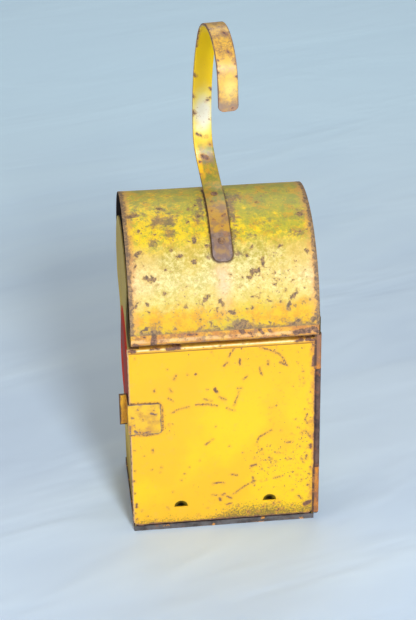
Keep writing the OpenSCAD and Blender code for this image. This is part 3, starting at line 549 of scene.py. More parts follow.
face_z = np.concatenate([face_z[:slit], [louvre_z, louvre_z], face_z[slit:][face_z[slit:] > louvre_z + 0.05]])
to_top = np.concatenate([face_z, bead_z, [door_top, door_top]])
col_x, col_flat = np.concatenate([door_left + fold_in, face_x]), np.concatenate([door_left + fold_flat, face_x])
col_deep = np.concatenate([fold_deep, 0 * face_x])
row_z = np.concatenate([door_foot + fold_in, to_top])[:, None]
row_flat = np.concatenate([door_foot + fold_flat, to_top])[:, None]
row_deep = np.concatenate([fold_deep, 0 * face_z, bead_deep, [2.4, fold_d]])[:, None]
row_at, slit_row = np.arange(len(row_z))[:, None], len(fold_in) + slit
folded_rows = (row_flat > door_foot + corner + 1) & (row_flat < door_top - 2 * bead_r + 0.1)
folded_cols, beaded_cols = np.abs(col_flat) < plate_in - 6.8, np.abs(col_flat) < plate_in - 0.7
x, z = np.where(folded_rows, col_x, col_flat), np.where(folded_cols, row_z, row_flat)
edge_x = np.minimum(col_flat - door_left, door_right - col_flat)
foot_rise = corner - np.sqrt(np.maximum(0, corner ** 2 - np.maximum(0, corner - edge_x) ** 2))
z = z + foot_rise * np.clip(1 - (row_flat - door_foot) / 8, 0, 1)
at_top = row_at >= len(fold_in) + len(face_z)
deep = np.where(folded_rows, col_deep, 0) + row_deep * np.where(at_top, beaded_cols, folded_cols)
ball, scoop = (louvre_r ** 2 + louvre_d ** 2) / (2 * louvre_d), 0
for louvre_x in louvres:
    rise = np.sqrt(np.maximum(0, ball ** 2 - (x - louvre_x) ** 2 - (z - louvre_z) ** 2)) - (ball - louvre_d)
    push = (row_at > slit_row) * np.maximum(0, rise)
    deep, scoop = deep + push, scoop + push / louvre_d
calm = np.clip(edge_x / 14, 0, 1) * np.clip((row_flat - door_foot) / 14, 0, 1)
calm = calm * np.clip((door_top - 6 - row_flat) / 10, 0, 1)
deep = deep + calm * (0.2 + 0.28 * waves(x, z, 17, 80))
keep = np.ones((len(row_z) - 1, len(col_x) - 1), bool)
keep[slit_row] = False
keep[:2] &= folded_cols[:-1] & folded_cols[1:]
keep[-2:] &= folded_cols[:-1] & folded_cols[1:]
keep[:, :2] &= folded_rows[:-1] & folded_rows[1:]
# Rust marks and scratches: width, then each point's mm from the middle and mm above the base
door_marks = [
    (1.0, 5, 163, 7, 167, 10, 171), (1.1, 30, 170, 38, 167, 46, 163, 50, 157, 53, 151),
    (1.4, 47, 155, 51, 152), (1.3, 1, 155, 4, 158), (1.2, 37, 153, 37, 157), (1.0, 30, 151, 32, 144),
    (1.4, 14, 160, 14, 155), (1.0, 20, 144, 17, 141), (1.2, 12, 133, 15, 133), (2, -22, 149), (1, -29, 149),
    (1.0, -40, 145, -38, 149), (2.4, -7, 134, -5, 131), (1.3, -13, 134), (1, -44, 137, -42, 134),
    (1.2, -56, 137, -56, 135), (1, -45, 128, -41, 125), (0.9, -42, 114, -36, 117, -28, 119),
    (1.3, -22, 120, -14, 120, -5, 118), (0.9, 3, 115, 9, 112), (0.9, -16, 125, -9, 123),
    (1.4, -3, 126, 2, 123), (0.8, 9, 117, 13, 129), (1.0, 28, 80, 30, 85, 35, 88, 40, 91), (1.6, 32, 73),
    (2, 53, 78, 56, 78), (1.1, 69, 88, 73, 81), (2.4, 73, 74, 73, 71), (1, 65, 62, 67, 57),
    (1.8, 23, 57, 27, 58), (1.6, 32, 53), (1.6, 7, 50, 11, 49), (1.4, -9, 42, -4, 43, 0, 42),
    (1.0, 8, 30, 13, 34, 20, 39, 27, 42), (0.9, 42, 43, 50, 45), (2, -4, 27, -3, 25), (1.1, -10, 31, -6, 30),
    (1.8, 71, 34), (1.4, 58, 30), (1.8, 20, 12, 21, 10), (1.6, 33, 15), (1.2, 34, 17), (1.4, 58, 15),
    (4, 69, 15, 73, 17), (0.9, -59, 80, -59, 77), (1.2, -52, 62), (1, -53, 57), (1, -60, 60), (1, -36, 48),
    (0.9, -43, 37), (1, -33, 54), (0.8, -66, 74), (1.2, 66, 145), (1, 45, 68), (0.9, -45, 155),
    (0.8, -45, 102), (1.2, 68, 99, 70, 95), (1.2, 68, 109), (1, 60, 100), (1, 48, 90), (0.9, 43, 69),
    (1.2, 65, 86), (1.4, 76, 110), (1.2, 76, 130), (3, 75, 158, 74, 150),
    (1.2, -76, 95, -63, 94, -54, 95, -50, 98, -50, 119, -52, 124, -76, 125), (1.2, -74, 60), (1.5, -75, 50),
    (1.4, -75, 38), (1.8, -74, 27, -74, 24), (1.6, -74, 12), (1.2, -74, 80), (1.5, -73, 7), (1.3, -75, 18),
    (3, -75, 174, -71, 174), (1.4, -58, 175, -51, 175), (3, -45, 174, -35, 175), (2.5, 60, 174, 65, 175),
    (2.4, 68, 175, 75, 174), (1.6, -2, 174), (1.4, 17, 175), (1, -71, 167), (1.2, -9, 86),
    (1, -15, 81, -11, 84), (1, 5, 78), (0.9, -47, 20), (0.9, -48, 22), (2, 42, 18), (1.2, 47, 19),
    (1.4, 66, 21, 63, 24), (1.3, 72, 165), (1.6, 74, 168, 73, 171), (1, 66, 139), (1.3, 67, 134),
    (1.1, 72, 125), (1, 70, 118), (1.3, 62, 92), (1, 57, 86), (1.2, 70, 104, 69, 101), (0.9, 64, 73),
    (1.2, 73, 52), (1.4, 72, 45), (1, 62, 45), (1.2, 66, 40), (1.6, 50, 12), (1.3, 45, 10, 47, 12),
    (1.5, 29, 11), (1.2, 12, 18), (1.4, 2, 20, 6, 21), (1, -14, 18), (1, -22, 12), (1.2, -70, 20),
    (1, -65, 14), (0.9, -58, 10), (1.1, 26, 64), (1, 37, 62), (1.2, 44, 60), (0.9, 16, 71), (0.8, -20, 66),
    (1.3, 70, 64, 69, 60), (1.2, 25, 43, 24, 46), (1.4, -2, 30, 1, 31), (1.5, 3, 28, 6, 26), (1, -29, 60),
    (0.8, -6, 98)]
door = stood("door_sheet", skin("door_sheet", (x, door_y + deep, z), {
    "scoop": scoop, "rust_reach": reach_of(x, z, door_marks),
    "edge_gap": np.minimum(edge_x, np.minimum(row_flat - door_foot, door_top - row_flat))}, keep))
thicken(door, sheet_t, 0.2)
bright = Finish("door_enamel")
from_bead, louvre_shade_depth, from_edge = (
    bright.z - (door_top - 2 * bead_r) / 1000, bright.painted("scoop"), bright.painted("edge_gap"))
on_bead = from_bead.step(-0.0002, 0.0004)
bead_ground = bright.coats(
    (240, 172, 40), ((246, 200, 70), bright.flecks(90, 3, 0.6, 78, 0.4, 0.6)),
    # Painted highlight: a pale line along the top of the bead.
    ((254, 236, 172), abs(from_bead - 0.003).step(0.0009, 0.0003) * 0.7))
warm = bright.noise(16, 3, 0.55, 80) - bright.x * 1.2 - bright.z * 0.6
grime_dots = bright.noise(620, 3, 0.75, 83) * 0.8 + bright.noise(60, 3, 0.6, 84) * 0.3
low = bright.z - bright.x.step(-0.02, 0.02) * 0.009
grime = (grime_dots + low.step(0.026, -0.002) * 0.34).step(0.7, 0.96)
torn = bright.stray(260, 4, 0.7, 86, 3.4)
# Worn bare metal along the left bend, made paler also as a painted reflection.
left_bend_wear_and_glint = (from_edge + torn * 0.15).step(1.5, 1.1) * bright.x.step(-0.07, -0.074)
door_ground = bright.coats(
    (253, 204, 14), ((249, 190, 28), warm.step(0.36, 0.56)),
    # Painted shade: the door a little darker and oranger from its middle up, against the stronger light there.
    ((246, 182, 20), bright.z.step(0.09, 0.17) * 0.7),
    ((240, 184, 84), bright.flecks(150, 5, 0.75, 81, 0.54, 0.7) * 0.4),
    ((222, 176, 60), bright.flecks(620, 3, 0.6, 79, 0.58, 0.7) * 0.4), (bead_ground, on_bead),
    # Painted shadow: a dark line in the crease under the bead.
    ((150, 92, 30), abs(from_bead + 0.0001).step(0.0009, 0.0003) * 0.8),
    ((206, 130, 62), (bright.x + bright.stray(150, 5, 0.72, 82, 0.022)).step(0.0705, 0.0775) * 0.9),
    # Painted shade in the louvres: olive-dark down each pushed-in scoop and black near its slit.
    ((88, 78, 52), grime * 0.85), ((112, 96, 26), louvre_shade_depth.step(0.02, 0.35)),
    ((8, 6, 4), louvre_shade_depth.step(0.62, 0.98)), ((206, 164, 128), left_bend_wear_and_glint * 0.8))
door_worn = (from_edge + torn).step(0.9, 0.1) * (1 - on_bead * 0.7)
foot_line = (bright.z + bright.stray(200, 4, 0.65, 85, 0.005)).step(0.0078, 0.006)
right_crowd = (bright.x - bright.z * 0.1).step(-0.01, 0.07) * 0.045
place(door, enamel(
    bright, door_ground, 87, 0.016 + right_crowd, True, door_worn.most(foot_line), (216, 146, 60),
    (146, 100, 78), (100, 70, 66), gloss=0.3, rag=4.5, tear=560), "door", "yellow_paint", "door_panel")


# Hinge: knuckles rolled from the door's own edge round one long pin, with the case's
# knuckle between them. Paint has lasted on the outer two, and the middle one is rust.
pin_x, pin_y = ((low + high) / 2 for low, high in list(zip(*span("hinge_pin")))[:2])
(_, _, mid_low), (_, _, mid_high) = span("hinge_leaf")
knuckle_r = pin_y - door_y


def rolled(name, z0, z1):
    """A knuckle rolled round the pin from the sheet's edge, its seam left slightly open."""
    turns = np.radians(np.arange(-90, 213, 12))
    path_x = np.concatenate([[door_right - 1.0, door_right + 0.6], pin_x + knuckle_r * np.cos(turns)])
    path_y = np.concatenate([[door_y - 0.02, door_y - 0.01], pin_y + knuckle_r * np.sin(turns)])
    rows = np.linspace(z0, z1, round((z1 - z0) / 1.5) + 1)[:, None]
    dents = np.minimum(1, 1 + 0.012 * waves(path_x * 9, rows, 5, 30))
    dented = np.where(np.arange(len(path_x)) > 1, pin_x + (path_x - pin_x) * dents, path_x)
    return stood(name, skin(name, (dented, path_y, rows)))


hinge = Finish("knuckle_enamel")
hinge_ground = hinge.coats(
    (212, 130, 34), ((146, 92, 62), hinge.flecks(130, 5, 0.75, 90, 0.42, 0.58, hinge.stretched(1, 1, 0.5))),
    ((150, 104, 78), (hinge.z + hinge.noise(60, 3, 0.6, 91) * 0.02).step(0.155, 0.17) * 0.8),
    # Painted shade: the knuckles darkened in the gap beside the door's edge.
    ((66, 46, 40), hinge.x.step((pin_x - 1.2) / 1000, (pin_x - 2.1) / 1000) * 0.9))
knuckle_paint = enamel(hinge, hinge_ground, 92, 0.1, False, gloss=0.45)
for name, z0, z1 in (("knuckle_low", 6.0, mid_low - 0.3), ("knuckle_high", mid_high + 0.3, door_high)):
    knuckle = rolled(name, z0, z1)
    thicken(knuckle, 0.95, 0.15)
    place(knuckle, knuckle_paint, "door", "yellow_paint")
dress(rusted("hinge_rust", (116, 86, 76), (64, 50, 50), (150, 92, 58), grain=300, seed=13),
      "hinge_leaf", "hinge_pin", "latch_catch", "fount_guides")

# Latch: a strip of spring steel welded on the door's left, whose leg runs back along the
# case's side to a turned-out finger tab. Rust has crept all round its outline.
(plate_left, plate_y, plate_low), (plate_right, _, plate_high) = span("latch_plate")
plate_z, plate_half, plate_corner = (plate_low + plate_high) / 2, (plate_high - plate_low) / 2, 3.0
plate_x = lines(plate_left, plate_right, 0.8, (plate_right - plate_corner, plate_right, 0.4))
from_right = np.maximum(0, plate_x - (plate_right - plate_corner))
plate_reach = plate_half - plate_corner + np.sqrt(np.maximum(0, plate_corner ** 2 - from_right ** 2))
plate_zs = plate_z + np.linspace(-1, 1, 37)[:, None] * plate_reach
plate_marks = [
    (1.6, -57, 118), (1.8, -56, 114, -59, 115), (1.6, -66, 110), (1.6, -63, 101), (1.8, -71, 98, -73, 99),
    (1.2, -66, 97, -60, 98), (1.4, -75, 112), (1, -70, 119), (1.8, -77, 104, -77, 97)]
latch_sheet = stood("latch_sheet", skin("latch_sheet", (
    plate_x, plate_y + 0.06 + 0.05 * waves(plate_x, plate_zs, 12, 20), plate_zs), {
        "rust_reach": reach_of(plate_x, plate_zs, plate_marks),
        "edge_gap": np.minimum(plate_right - plate_x, plate_reach - np.abs(plate_zs - plate_z))}))
thicken(latch_sheet, 0.7, 0.3)
latch = Finish("latch_enamel")
latch_ground = latch.mix((240, 190, 44), (212, 156, 58), latch.flecks(90, 4, 0.65, 100, 0.42, 0.62))
latch_worn = (latch.painted("edge_gap") + latch.stray(180, 3, 0.65, 101, 2.4)).step(1.1, 0.3)
place(latch_sheet, enamel(
    latch, latch_ground, 102, 0.03, True, latch_worn, bare_light=(150, 124, 112), bare_dark=(100, 82, 76)),
    "door", "yellow_paint", "latch_plate")
tab_low, tab_high = [[v / 1000 for v in c] for c in span("latch_spring")]
tab = Finish("tab_enamel")
from_tab_edge = (tab.x - tab_low[0]).least((tab_high[2] - tab.z).least(tab.z - tab_low[2]))
tab_worn = (from_tab_edge + tab.stray(200, 3, 0.6, 106, 0.0026)).step(0.0017, 0.0007)
tab_ground = tab.mix((236, 176, 30), (204, 136, 32), tab.flecks(130, 4, 0.65, 107, 0.42, 0.62))
dress(enamel(tab, tab_ground, 108, 0.05, False, tab_worn, bare_light=(84, 64, 58), bare_dark=(56, 44, 42)),
      "latch_spring")

# Handle: flat steel strap, riveted to the cowl, bent up into a stem and over into a crook.
# Glossy gold inside the crook, green low on the stem, and brown rust at foot and tip; a painted
# highlight up the stem and near the tip, and painted shade on the left edge low down.
strap_w, strap_t, strap_edge, tip_round, foot_angle = 15.9, 2.5, 0.7, 4.0, 39.5
strap_rc, tip_l, twist = cowl_r + strap_t / 2 + 0.03, 22.0, math.radians(7.1)
foot_l = at = strap_rc * math.radians(90 - foot_angle)
bends = []
for bend_r, bend_turn in ((37.2, 84.4), (151.1, 37.5), (35.6, 143.4)):
    bends.append((at, bend_r, math.radians(bend_turn)))
    at += bend_r * math.radians(bend_turn)
stem_at, tip_at, strap_l = bends[0][0] + bends[0][1] * bends[0][2], at, at + tip_l


def strap_at(s):
    """The strap's centre line at s mm from its foot: y, z and heading."""
    if s <= foot_l:
        a = math.radians(foot_angle) + s / strap_rc
        return cowl_y - strap_rc * math.cos(a), cowl_z + strap_rc * math.sin(a), math.pi / 2 - a
    y, z, h = cowl_y, cowl_z + strap_rc, 0.0
    for start, r, turn in bends:
        turned = h + min(max(0, s - start) / r, turn)
        y, z, h = y + r * (math.sin(turned) - math.sin(h)), z - r * (math.cos(turned) - math.cos(h)), turned
    beyond = max(0, s - tip_at)
    return y + beyond * math.cos(h), z + beyond * math.sin(h), h


near_foot = np.array([0, 0.1, 0.35, 0.8, 1.4, 2.1, 3, 4.1])
strap_s = np.concatenate([near_foot, np.arange(5.2, strap_l - 4.8, 1.3), strap_l - near_foot[::-1]])
path_y, path_z, heading = np.array([strap_at(s) for s in strap_s]).T[:, :, None]
strap_s = strap_s[:, None]
end_round = np.where(strap_s < strap_l / 2, foot_round, tip_round)
end_gap = np.maximum(0, end_round - np.minimum(strap_s, strap_l - strap_s))
flat_half = strap_w / 2 - end_round + np.sqrt(end_round ** 2 - end_gap ** 2) - strap_edge
# Once round the strap's section: back face, right edge, front face, left edge
rim, flat = np.radians(np.arange(-75, 90, 30)), np.linspace(-1, 1, 14)
strap_u = flat_half * np.concatenate([flat, np.ones(6), -flat, -np.ones(6)]) + strap_edge * np.concatenate(
    [0 * flat, np.cos(rim), 0 * flat, -np.cos(rim)])
strap_face = np.concatenate([-np.ones(14), np.sin(rim), np.ones(14), -np.sin(rim)])
leaning = np.clip((strap_s - foot_l) / (stem_at + 5 - foot_l), 0, 1)
lean = twist * leaning ** 2 * (3 - 2 * leaning)
out_y = path_y - strap_face * strap_t / 2 * np.sin(heading) - cowl_y
# Marks on the face that looks forward from the foot to the crown, as mm across and mm along
inner_marks = [
    (2.2, -8, 186, -6, 184), (1.2, 7, 169, 6, 171), (1.6, -8, 166, -7, 164), (1.8, -8, 148, -6, 150),
    (1.4, -7, 151), (1.6, -5, 131, -1, 129), (2, 3, 128), (3, -3, 112, 1, 110), (2.5, -5, 107), (3, 0, 68),
    (2, 3, 40, 5, 41), (2, 2, 30), (2.5, -3, 57), (1.4, -7.8, 214, -7.8, 236), (2, -4, 36),
    (1.5, 3, 159, 6, 162), (2, 5, 121), (1.5, -7, 96), (2.2, 4, 22), (2, -5, 46)]
outer_marks = [
    (1.8, 2, 273, 4, 277), (1.5, -5, 284), (1.4, 2, 292, 5, 294), (2.4, 7, 301), (1.6, -6, 298),
    (3, 4, 252, 7, 254), (2.6, -7, 307), (2.4, 7, 311), (1.6, -4, 337), (1.6, 3, 335), (2, -7, 327),
    (3, 0, 60, 3, 66), (4, -4, 120, -2, 130), (3, 3, 160, 5, 172), (4, 0, 200, 2, 215), (3, -5, 236)]
# Painted highlights, as soft patches: mm across, mm along, radius across, radius along, strength.
inner_highlight_spots, outer_highlight_spots = [(1, 149, 10, 20, 1), (-3, 138, 6, 9, 0.7)], [(2, 320, 7, 8, 0.8)]
inner_clouds = [(1, 109, 7, 6, 1), (-2, 116, 4, 4, 0.7), (5, 40, 4, 5, 0.5), (-5, 62, 4, 5, 0.4)]
outer_clouds = [(2, 276, 5, 6, 0.9), (1, 293, 5, 4, 0.7), (0, 259, 9, 5, 0.8), (7, 301, 3, 4, 0.6)]
painted = {key: np.where(strap_face > 0, paint(strap_u, strap_s, inner), paint(strap_u, strap_s, outer))
           for key, paint, inner, outer in (
               ("rust_reach", reach_of, inner_marks, outer_marks), ("painted_highlight", clouds, inner_highlight_spots, outer_highlight_spots),
               ("cloud", clouds, inner_clouds, outer_clouds))}
strap = stood("handle_bar", skin("handle_bar", (
    strap_x + strap_u * np.cos(lean) - out_y * np.sin(lean),
    cowl_y + strap_u * np.sin(lean) + out_y * np.cos(lean),
    path_z + strap_face * strap_t / 2 * np.cos(heading)),
    {**painted, "up": strap_s / 100, "face": strap_face, "across": strap_u / 10}, weld=0, closed=True))
bar = Finish("handle_enamel")
far_up, sideways, face = bar.painted("up"), bar.painted("across"), bar.painted("face")
s_up, fine = far_up + bar.stray(60, 4, 0.65, 120, 0.35), bar.noise(220, 5, 0.75, 119)
gold_bar = bar.mix((252, 204, 28), (246, 188, 40), bar.flecks(50, 3, 0.6, 121, 0.42, 0.6))
green_bar = bar.coats(
    (132, 140, 60), ((192, 160, 52), fine.step(0.36, 0.64)),
    ((214, 158, 46), bar.flecks(130, 4, 0.7, 118, 0.5, 0.6) * 0.75),
    ((140, 108, 82), bar.flecks(190, 5, 0.78, 114, 0.54, 0.62) * 0.65))
ochre = bar.mix((204, 156, 62), (164, 126, 88), bar.flecks(110, 5, 0.72, 123, 0.44, 0.6))
brown_bar = bar.mix((138, 112, 104), (170, 134, 92), bar.flecks(130, 4, 0.7, 124, 0.45, 0.62))
clouded = (bar.painted("cloud") + bar.stray(170, 5, 0.78, 117, 2.4)).step(0.3, 0.8)
left_gold = (sideways + bar.stray(80, 4, 0.65, 125, 0.7)).step(-0.3, -0.5) * far_up.step(0.88, 1.0)
# A painted highlight up the stem's front face and near the tip.
painted_highlight = bar.painted("painted_highlight") + bar.stray(70, 4, 0.7, 116, 0.4)
inner = bar.coats(
    brown_bar, (ochre, s_up.step(0.12, 0.22)), (green_bar, s_up.step(0.48, 0.64)),
    (gold_bar, s_up.step(1.12, 1.3).most(left_gold)), ((255, 212, 8), s_up.step(1.5, 1.8) * 0.9),
    (brown_bar, clouded * 0.7), ((255, 232, 110), painted_highlight.step(0.05, 0.5)),
    ((255, 249, 228), painted_highlight.step(0.35, 0.95)))
rusty = bar.flecks(150, 5, 0.78, 126, 0.44, 0.6) * (s_up.step(3.12, 2.9) * 0.5 + 0.4)
outer = bar.coats(
    (234, 184, 78), ((160, 116, 84), rusty), ((142, 110, 92), clouded * 0.55),
    ((252, 216, 122), painted_highlight.step(0.1, 0.9) * 0.7),
    (brown_bar, (s_up + (fine - 0.5) * 0.3).step(3.2, 3.32) * 0.9))
from_side = strap_w / 20 - abs(sideways)
foot_rim = (from_side.least(far_up * 10) + (fine - 0.5) * 0.9).step(0.3, 0.12) * far_up.step(0.26, 0.2)
foot_band = (abs(far_up - 0.215) + (fine - 0.5) * 0.08).step(0.035, 0.012) * 0.8
flat_side = abs(face).step(0.9, 0.7)
left_side = sideways.step(-0.5, -0.7) * far_up.step(1.0, 0.9)
handle_ground = bar.coats(
    outer, (inner, face.step(-0.2, 0.2)),
    (bar.mix((150, 128, 122), (112, 94, 92), fine.step(0.42, 0.58)), foot_rim.most(foot_band)),
    # Painted shade darkens the strap's left edge from its foot up to the stem.
    ((60, 36, 26), flat_side * left_side))
rims = (from_side + bar.stray(150, 5, 0.7, 127, 0.3)).step(0.13, 0.02) * face.step(0.3, -0.3)
place(strap, enamel(
    bar, handle_ground, 128, 0.0, True, rims.most(flat_side * 0.5), (196, 132, 62), (150, 112, 98),
    (102, 78, 76), gloss=0.27, rag=7.0, tear=420), "case", "handle_paint", "handle_strap")


# Rivets: two through strap and cowl, their heads a little dished by the setting punch.
# The same rivet is set at two angles up the cowl.
def lathe(name, profile, steps):
    """A solid turned about Z from (radius, height) points in mm, which run with the solid on their left."""
    turns, profile = np.radians(np.arange(steps) * 360 / steps), np.array(profile, float)
    radii, heights = profile[:, :1], profile[:, 1:]
    return skin(name, (radii * np.cos(turns), radii * np.sin(turns), heights), weld=1e-7, closed=True)


def add(kind, settings=None, **sockets):
    """A node of the rivets' tree; a socket takes a number, another node's socket or an input's name."""
    made = rivet_tree.nodes.new(kind)
    for key, value in (settings or {}).items():
        setattr(made, key, value)
    for key, value in sockets.items():
        socket = made.inputs[key.replace("_", " ")]
        if isinstance(value, str):
            value = given.outputs[value]
        if isinstance(value, bpy.types.NodeSocket):
            rivet_tree.links.new(value, socket)
        else:
            socket.default_value = value
    return made.outputs["Geometry" if "Geometry" in made.outputs else 0]


rivet_steel = rusted("rivet_rust", (170, 130, 92), (104, 78, 70), (206, 150, 66), grain=600, seed=17)
head_r, head_h, inner_z, outer_z, first_rivet, last_rivet = 2.9, 0.9, -1.1, strap_t + 0.1, 51.0, 87.0
rivet = lathe("rivet", [
    (0, inner_z - head_h), (1.5, inner_z - 0.75), (2.5, inner_z - 0.4), (head_r, inner_z), (2.0, inner_z),
    (2.0, outer_z), (head_r, outer_z), (2.8, outer_z + 0.45), (2.45, outer_z + 0.8), (2.0, outer_z + head_h),
    (1.5, outer_z + 0.72), (0.8, outer_z + 0.45), (0, outer_z + 0.36)], 40)
rivet.materials.append(rivet_steel)
rivet_inputs = {
    "Rivet": ("Object", bpy.data.objects.new("rivet_pattern", rivet)), "Finish": ("Material", rivet_steel),
    "Cowl radius": ("Float", cowl_r / 1000), "First angle": ("Float", math.radians(first_rivet)),
    "Sweep": ("Float", math.radians(last_rivet - first_rivet)), "Rivets": ("Int", 2),
    "Centre": ("Vector", (strap_x / 1000, cowl_y / 1000, cowl_z / 1000))}
rivet_tree = bpy.data.node_groups.new("set_rivets", "GeometryNodeTree")
for key, (kind, _) in rivet_inputs.items():
    rivet_tree.interface.new_socket(key, in_out="INPUT", socket_type="NodeSocket" + kind)
rivet_tree.interface.new_socket("Geometry", in_out="OUTPUT", socket_type="NodeSocketGeometry")
given = rivet_tree.nodes.new("NodeGroupInput")
arc_path = add("GeometryNodeCurveArc", {"mode": "RADIUS"}, Resolution="Rivets", Radius="Cowl radius",
               Start_Angle="First angle", Sweep_Angle="Sweep")
outwards = add("FunctionNodeAlignRotationToVector", {"axis": "Z"}, Vector=add("GeometryNodeInputPosition"))
on_arc = add("GeometryNodeInstanceOnPoints",
             Points=add("GeometryNodeCurveToPoints", {"mode": "EVALUATED"}, Curve=arc_path),
             Instance=add("GeometryNodeObjectInfo", Object="Rivet"), Rotation=outwards)
upright = add("GeometryNodeTransform", Geometry=on_arc, Rotation=(math.pi / 2, 0, -math.pi / 2),
              Translation="Centre")
done = add("GeometryNodeSetMaterial", Geometry=add("GeometryNodeRealizeInstances", Geometry=upright),
           Material="Finish")
rivet_tree.links.new(done, rivet_tree.nodes.new("NodeGroupOutput").inputs[0])
holder = stood("rivet_holder", bpy.data.meshes.new("rivet_empty"))
grow = holder.modifiers.new("grow", "NODES")
grow.node_group = rivet_tree
for socket in rivet_tree.interface.items_tree:
    if socket.in_out == "INPUT":
        grow[socket.identifier] = rivet_inputs[socket.name][1]
grown = bpy.data.meshes.new_from_object(holder.evaluated_get(bpy.context.evaluated_depsgraph_get()))
bpy.data.objects.remove(holder)
grown.name = "handle_rivet_heads"
place(stood("handle_rivet_heads", grown), rivet_steel, "case", "rusted_steel", "handle_rivets")

# Lenses: one in each end plate, pressed in red glass, domed outside. Inside they have a
# bull's eye in the middle and moulded rings round it, and a flange that the clips press on.
# A grey ring on the glass is a painted reflection, and the glass is painted darker red over the
# moulded rings as shade.
lens_y, lens_z = ((low + high) / 2 for low, high in list(zip(*span("lens_left")))[1:])
glass_r, flange_r, felt_t, flange_t, eye_r, eye_h, dome_h = 51.1, 52.6, 0.6, 2.5, 30.0, 6.0, 2.9
glass_back, first_ring, ring_pitch = -felt_t - flange_t, 30.2, 3.6
dome_r, eye_ball = (glass_r ** 2 + dome_h ** 2) / (2 * dome_h), (eye_r ** 2 + eye_h ** 2) / (2 * eye_h)
lens_profile = [
    (r, glass_back - eye_h + eye_ball - math.sqrt(eye_ball ** 2 - r * r)) for r in np.linspace(0, 29.2, 22)]
for ring in range(5):
    lens_profile += [(first_ring + ring * ring_pitch + out, glass_back - deeper) for out, deeper in (
        (0, 0), (0.5, 0.55), (1.6, 0.8), (2.8, 0.5), (3.3, 0))]
lens_profile += [(flange_r - 0.3, glass_back), (flange_r, glass_back + 0.3), (flange_r, -felt_t - 0.3),
                 (flange_r - 0.3, -felt_t), (glass_r, -felt_t), (glass_r, 0.7), (glass_r - 0.3, 1.02)]
lens_profile += [
    (r, 1 + dome_h - dome_r + math.sqrt(dome_r ** 2 - r * r)) for r in np.linspace(glass_r - 0.8, 0, 30)]
red = Finish("red_glass", transmission_weight=0.1, ior=1.05, specular_ior_level=0.04)
swirl, from_eye = red.noise(26, 3, 0.5, 140, warp=1.0), red.from_axis(lens_y, lens_z)
# Painted reflection: a grey ring round the bull's eye, with grey dust specks over the glass.
reflection_ring = (abs(from_eye - eye_r / 1000) + red.stray(60, 4, 0.65, 141, 0.012)).step(0.016, 0.004)
dust_and_reflection = (reflection_ring * 0.7).most(
    (red.noise(300, 3, 0.6, 142) + red.noise(40, 3, 0.6, 143) * 0.4).step(0.62, 0.9) * 0.3)
ring_phase = (from_eye - first_ring / 1000) * (2000 * math.pi / ring_pitch)
ring_wave = red.node("ShaderNodeMath", {"operation": "SINE"}, {0: ring_phase})
# Painted shade: the glass darker red over the moulded rings.
ring_shade = ring_wave.step(-0.3, 0.9) * from_eye.step(0.0288, 0.0304) * from_eye.step(0.049, 0.048)
glass_colour = red.coats(
    (244, 62, 8), ((216, 40, 8), swirl), ((150, 22, 8), ring_shade * 0.6), ((150, 112, 112), dust_and_reflection))
red.end(glass_colour, dust_and_reflection * 0.3 + 0.3, swirl)


def in_plate(mesh, side):
    """Turns a lathed mesh from Z to the end plate's own axis: side is -1 on the left, 1 on the right."""
    turn = Matrix.Rotation(side * math.pi / 2, 4, "Y")
    mesh.transform(Matrix.Translation((side * plate_in / 1000, lens_y / 1000, lens_z / 1000)) @ turn)
    return mesh


for name, end in (("lens_left", -1), ("lens_right", 1)):
    pressed = stood("glass_" + name, in_plate(lathe("glass_" + name, lens_profile, 128), end))
    place(pressed, red.material, "case", "red_glass", name)

# Lens fixing: a felt gasket before each lens, and behind it a tinned steel ring that four
# bent clips hold against the glass. The clips are spot welded inside the plate.
felt = Finish("gasket_felt")
fibres = felt.noise(900, 3, 0.7, 150, warp=1.5)
dress(felt.end(felt.mix((74, 64, 54), (40, 34, 30), fibres), fibres * 0.1 + 0.88, fibres, 0.0003),
      "lens_gaskets", "filler_washer")


def tinplate(name, seed, oil=0.5, seams=()):
    """Tinned sheet gone dull, with oil runs, rust freckles and solder at its seams' heights in m."""
    tin = Finish(name)
    cast = tin.noise(14, 4, 0.6, seed, warp=1.2)
    oily = tin.flecks(1, 4, 0.65, seed + 1, 0.5, 0.68, tin.stretched(120, 120, 14)) * oil
    freckle = (tin.noise(240, 4, 0.7, seed + 2) + tin.noise(30, 2, 0.5, seed + 3) * 0.3).step(0.72, 0.8)
    colour = tin.coats(
        (176, 174, 166), ((134, 132, 124), cast), ((110, 82, 44), oily), ((124, 74, 46), freckle))
    height = cast * 0.6 + tin.noise(900, 2, 0.5, seed + 5) * 0.1 - freckle * 0.2
    rough = cast * 0.15 + 0.3 + freckle * 0.35
    for seam in seams:
        solder = (abs(tin.z - seam) + tin.stray(120, 3, 0.6, seed + 4, 0.0014)).step(0.0017, 0.001)
        colour = tin.mix(colour, (150, 150, 152), solder * 0.8)
        height, rough = height + solder * 0.9, rough + solder * 0.15
    return tin.end(colour, rough, height, Metallic=0.85 - freckle * 0.7 - oily * 0.3)


ring_tin = tinplate("ring_tin", 160, 0.3)
ring_t, ring_in = 1.2, 49.4
ring_profile = [
    (ring_in, glass_back - 0.3), (ring_in + 0.3, glass_back - ring_t), (flange_r - 0.3, glass_back - ring_t),
    (flange_r, glass_back - ring_t + 0.3), (flange_r, glass_back - 0.02), (ring_in + 0.3, glass_back - 0.02),
    (ring_in, glass_back - 0.3)]
both = bmesh.new()
for end in (-1, 1):
    both.from_mesh(in_plate(lathe("lens_ring_half", ring_profile, 96), end))
ring_mesh = bpy.data.meshes.new("retaining_rings")
both.to_mesh(ring_mesh)
both.free()
place(stood("retaining_rings", ring_mesh), ring_tin, "case", "tinplate", "lens_rings")
dress(ring_tin, "lens_clips")

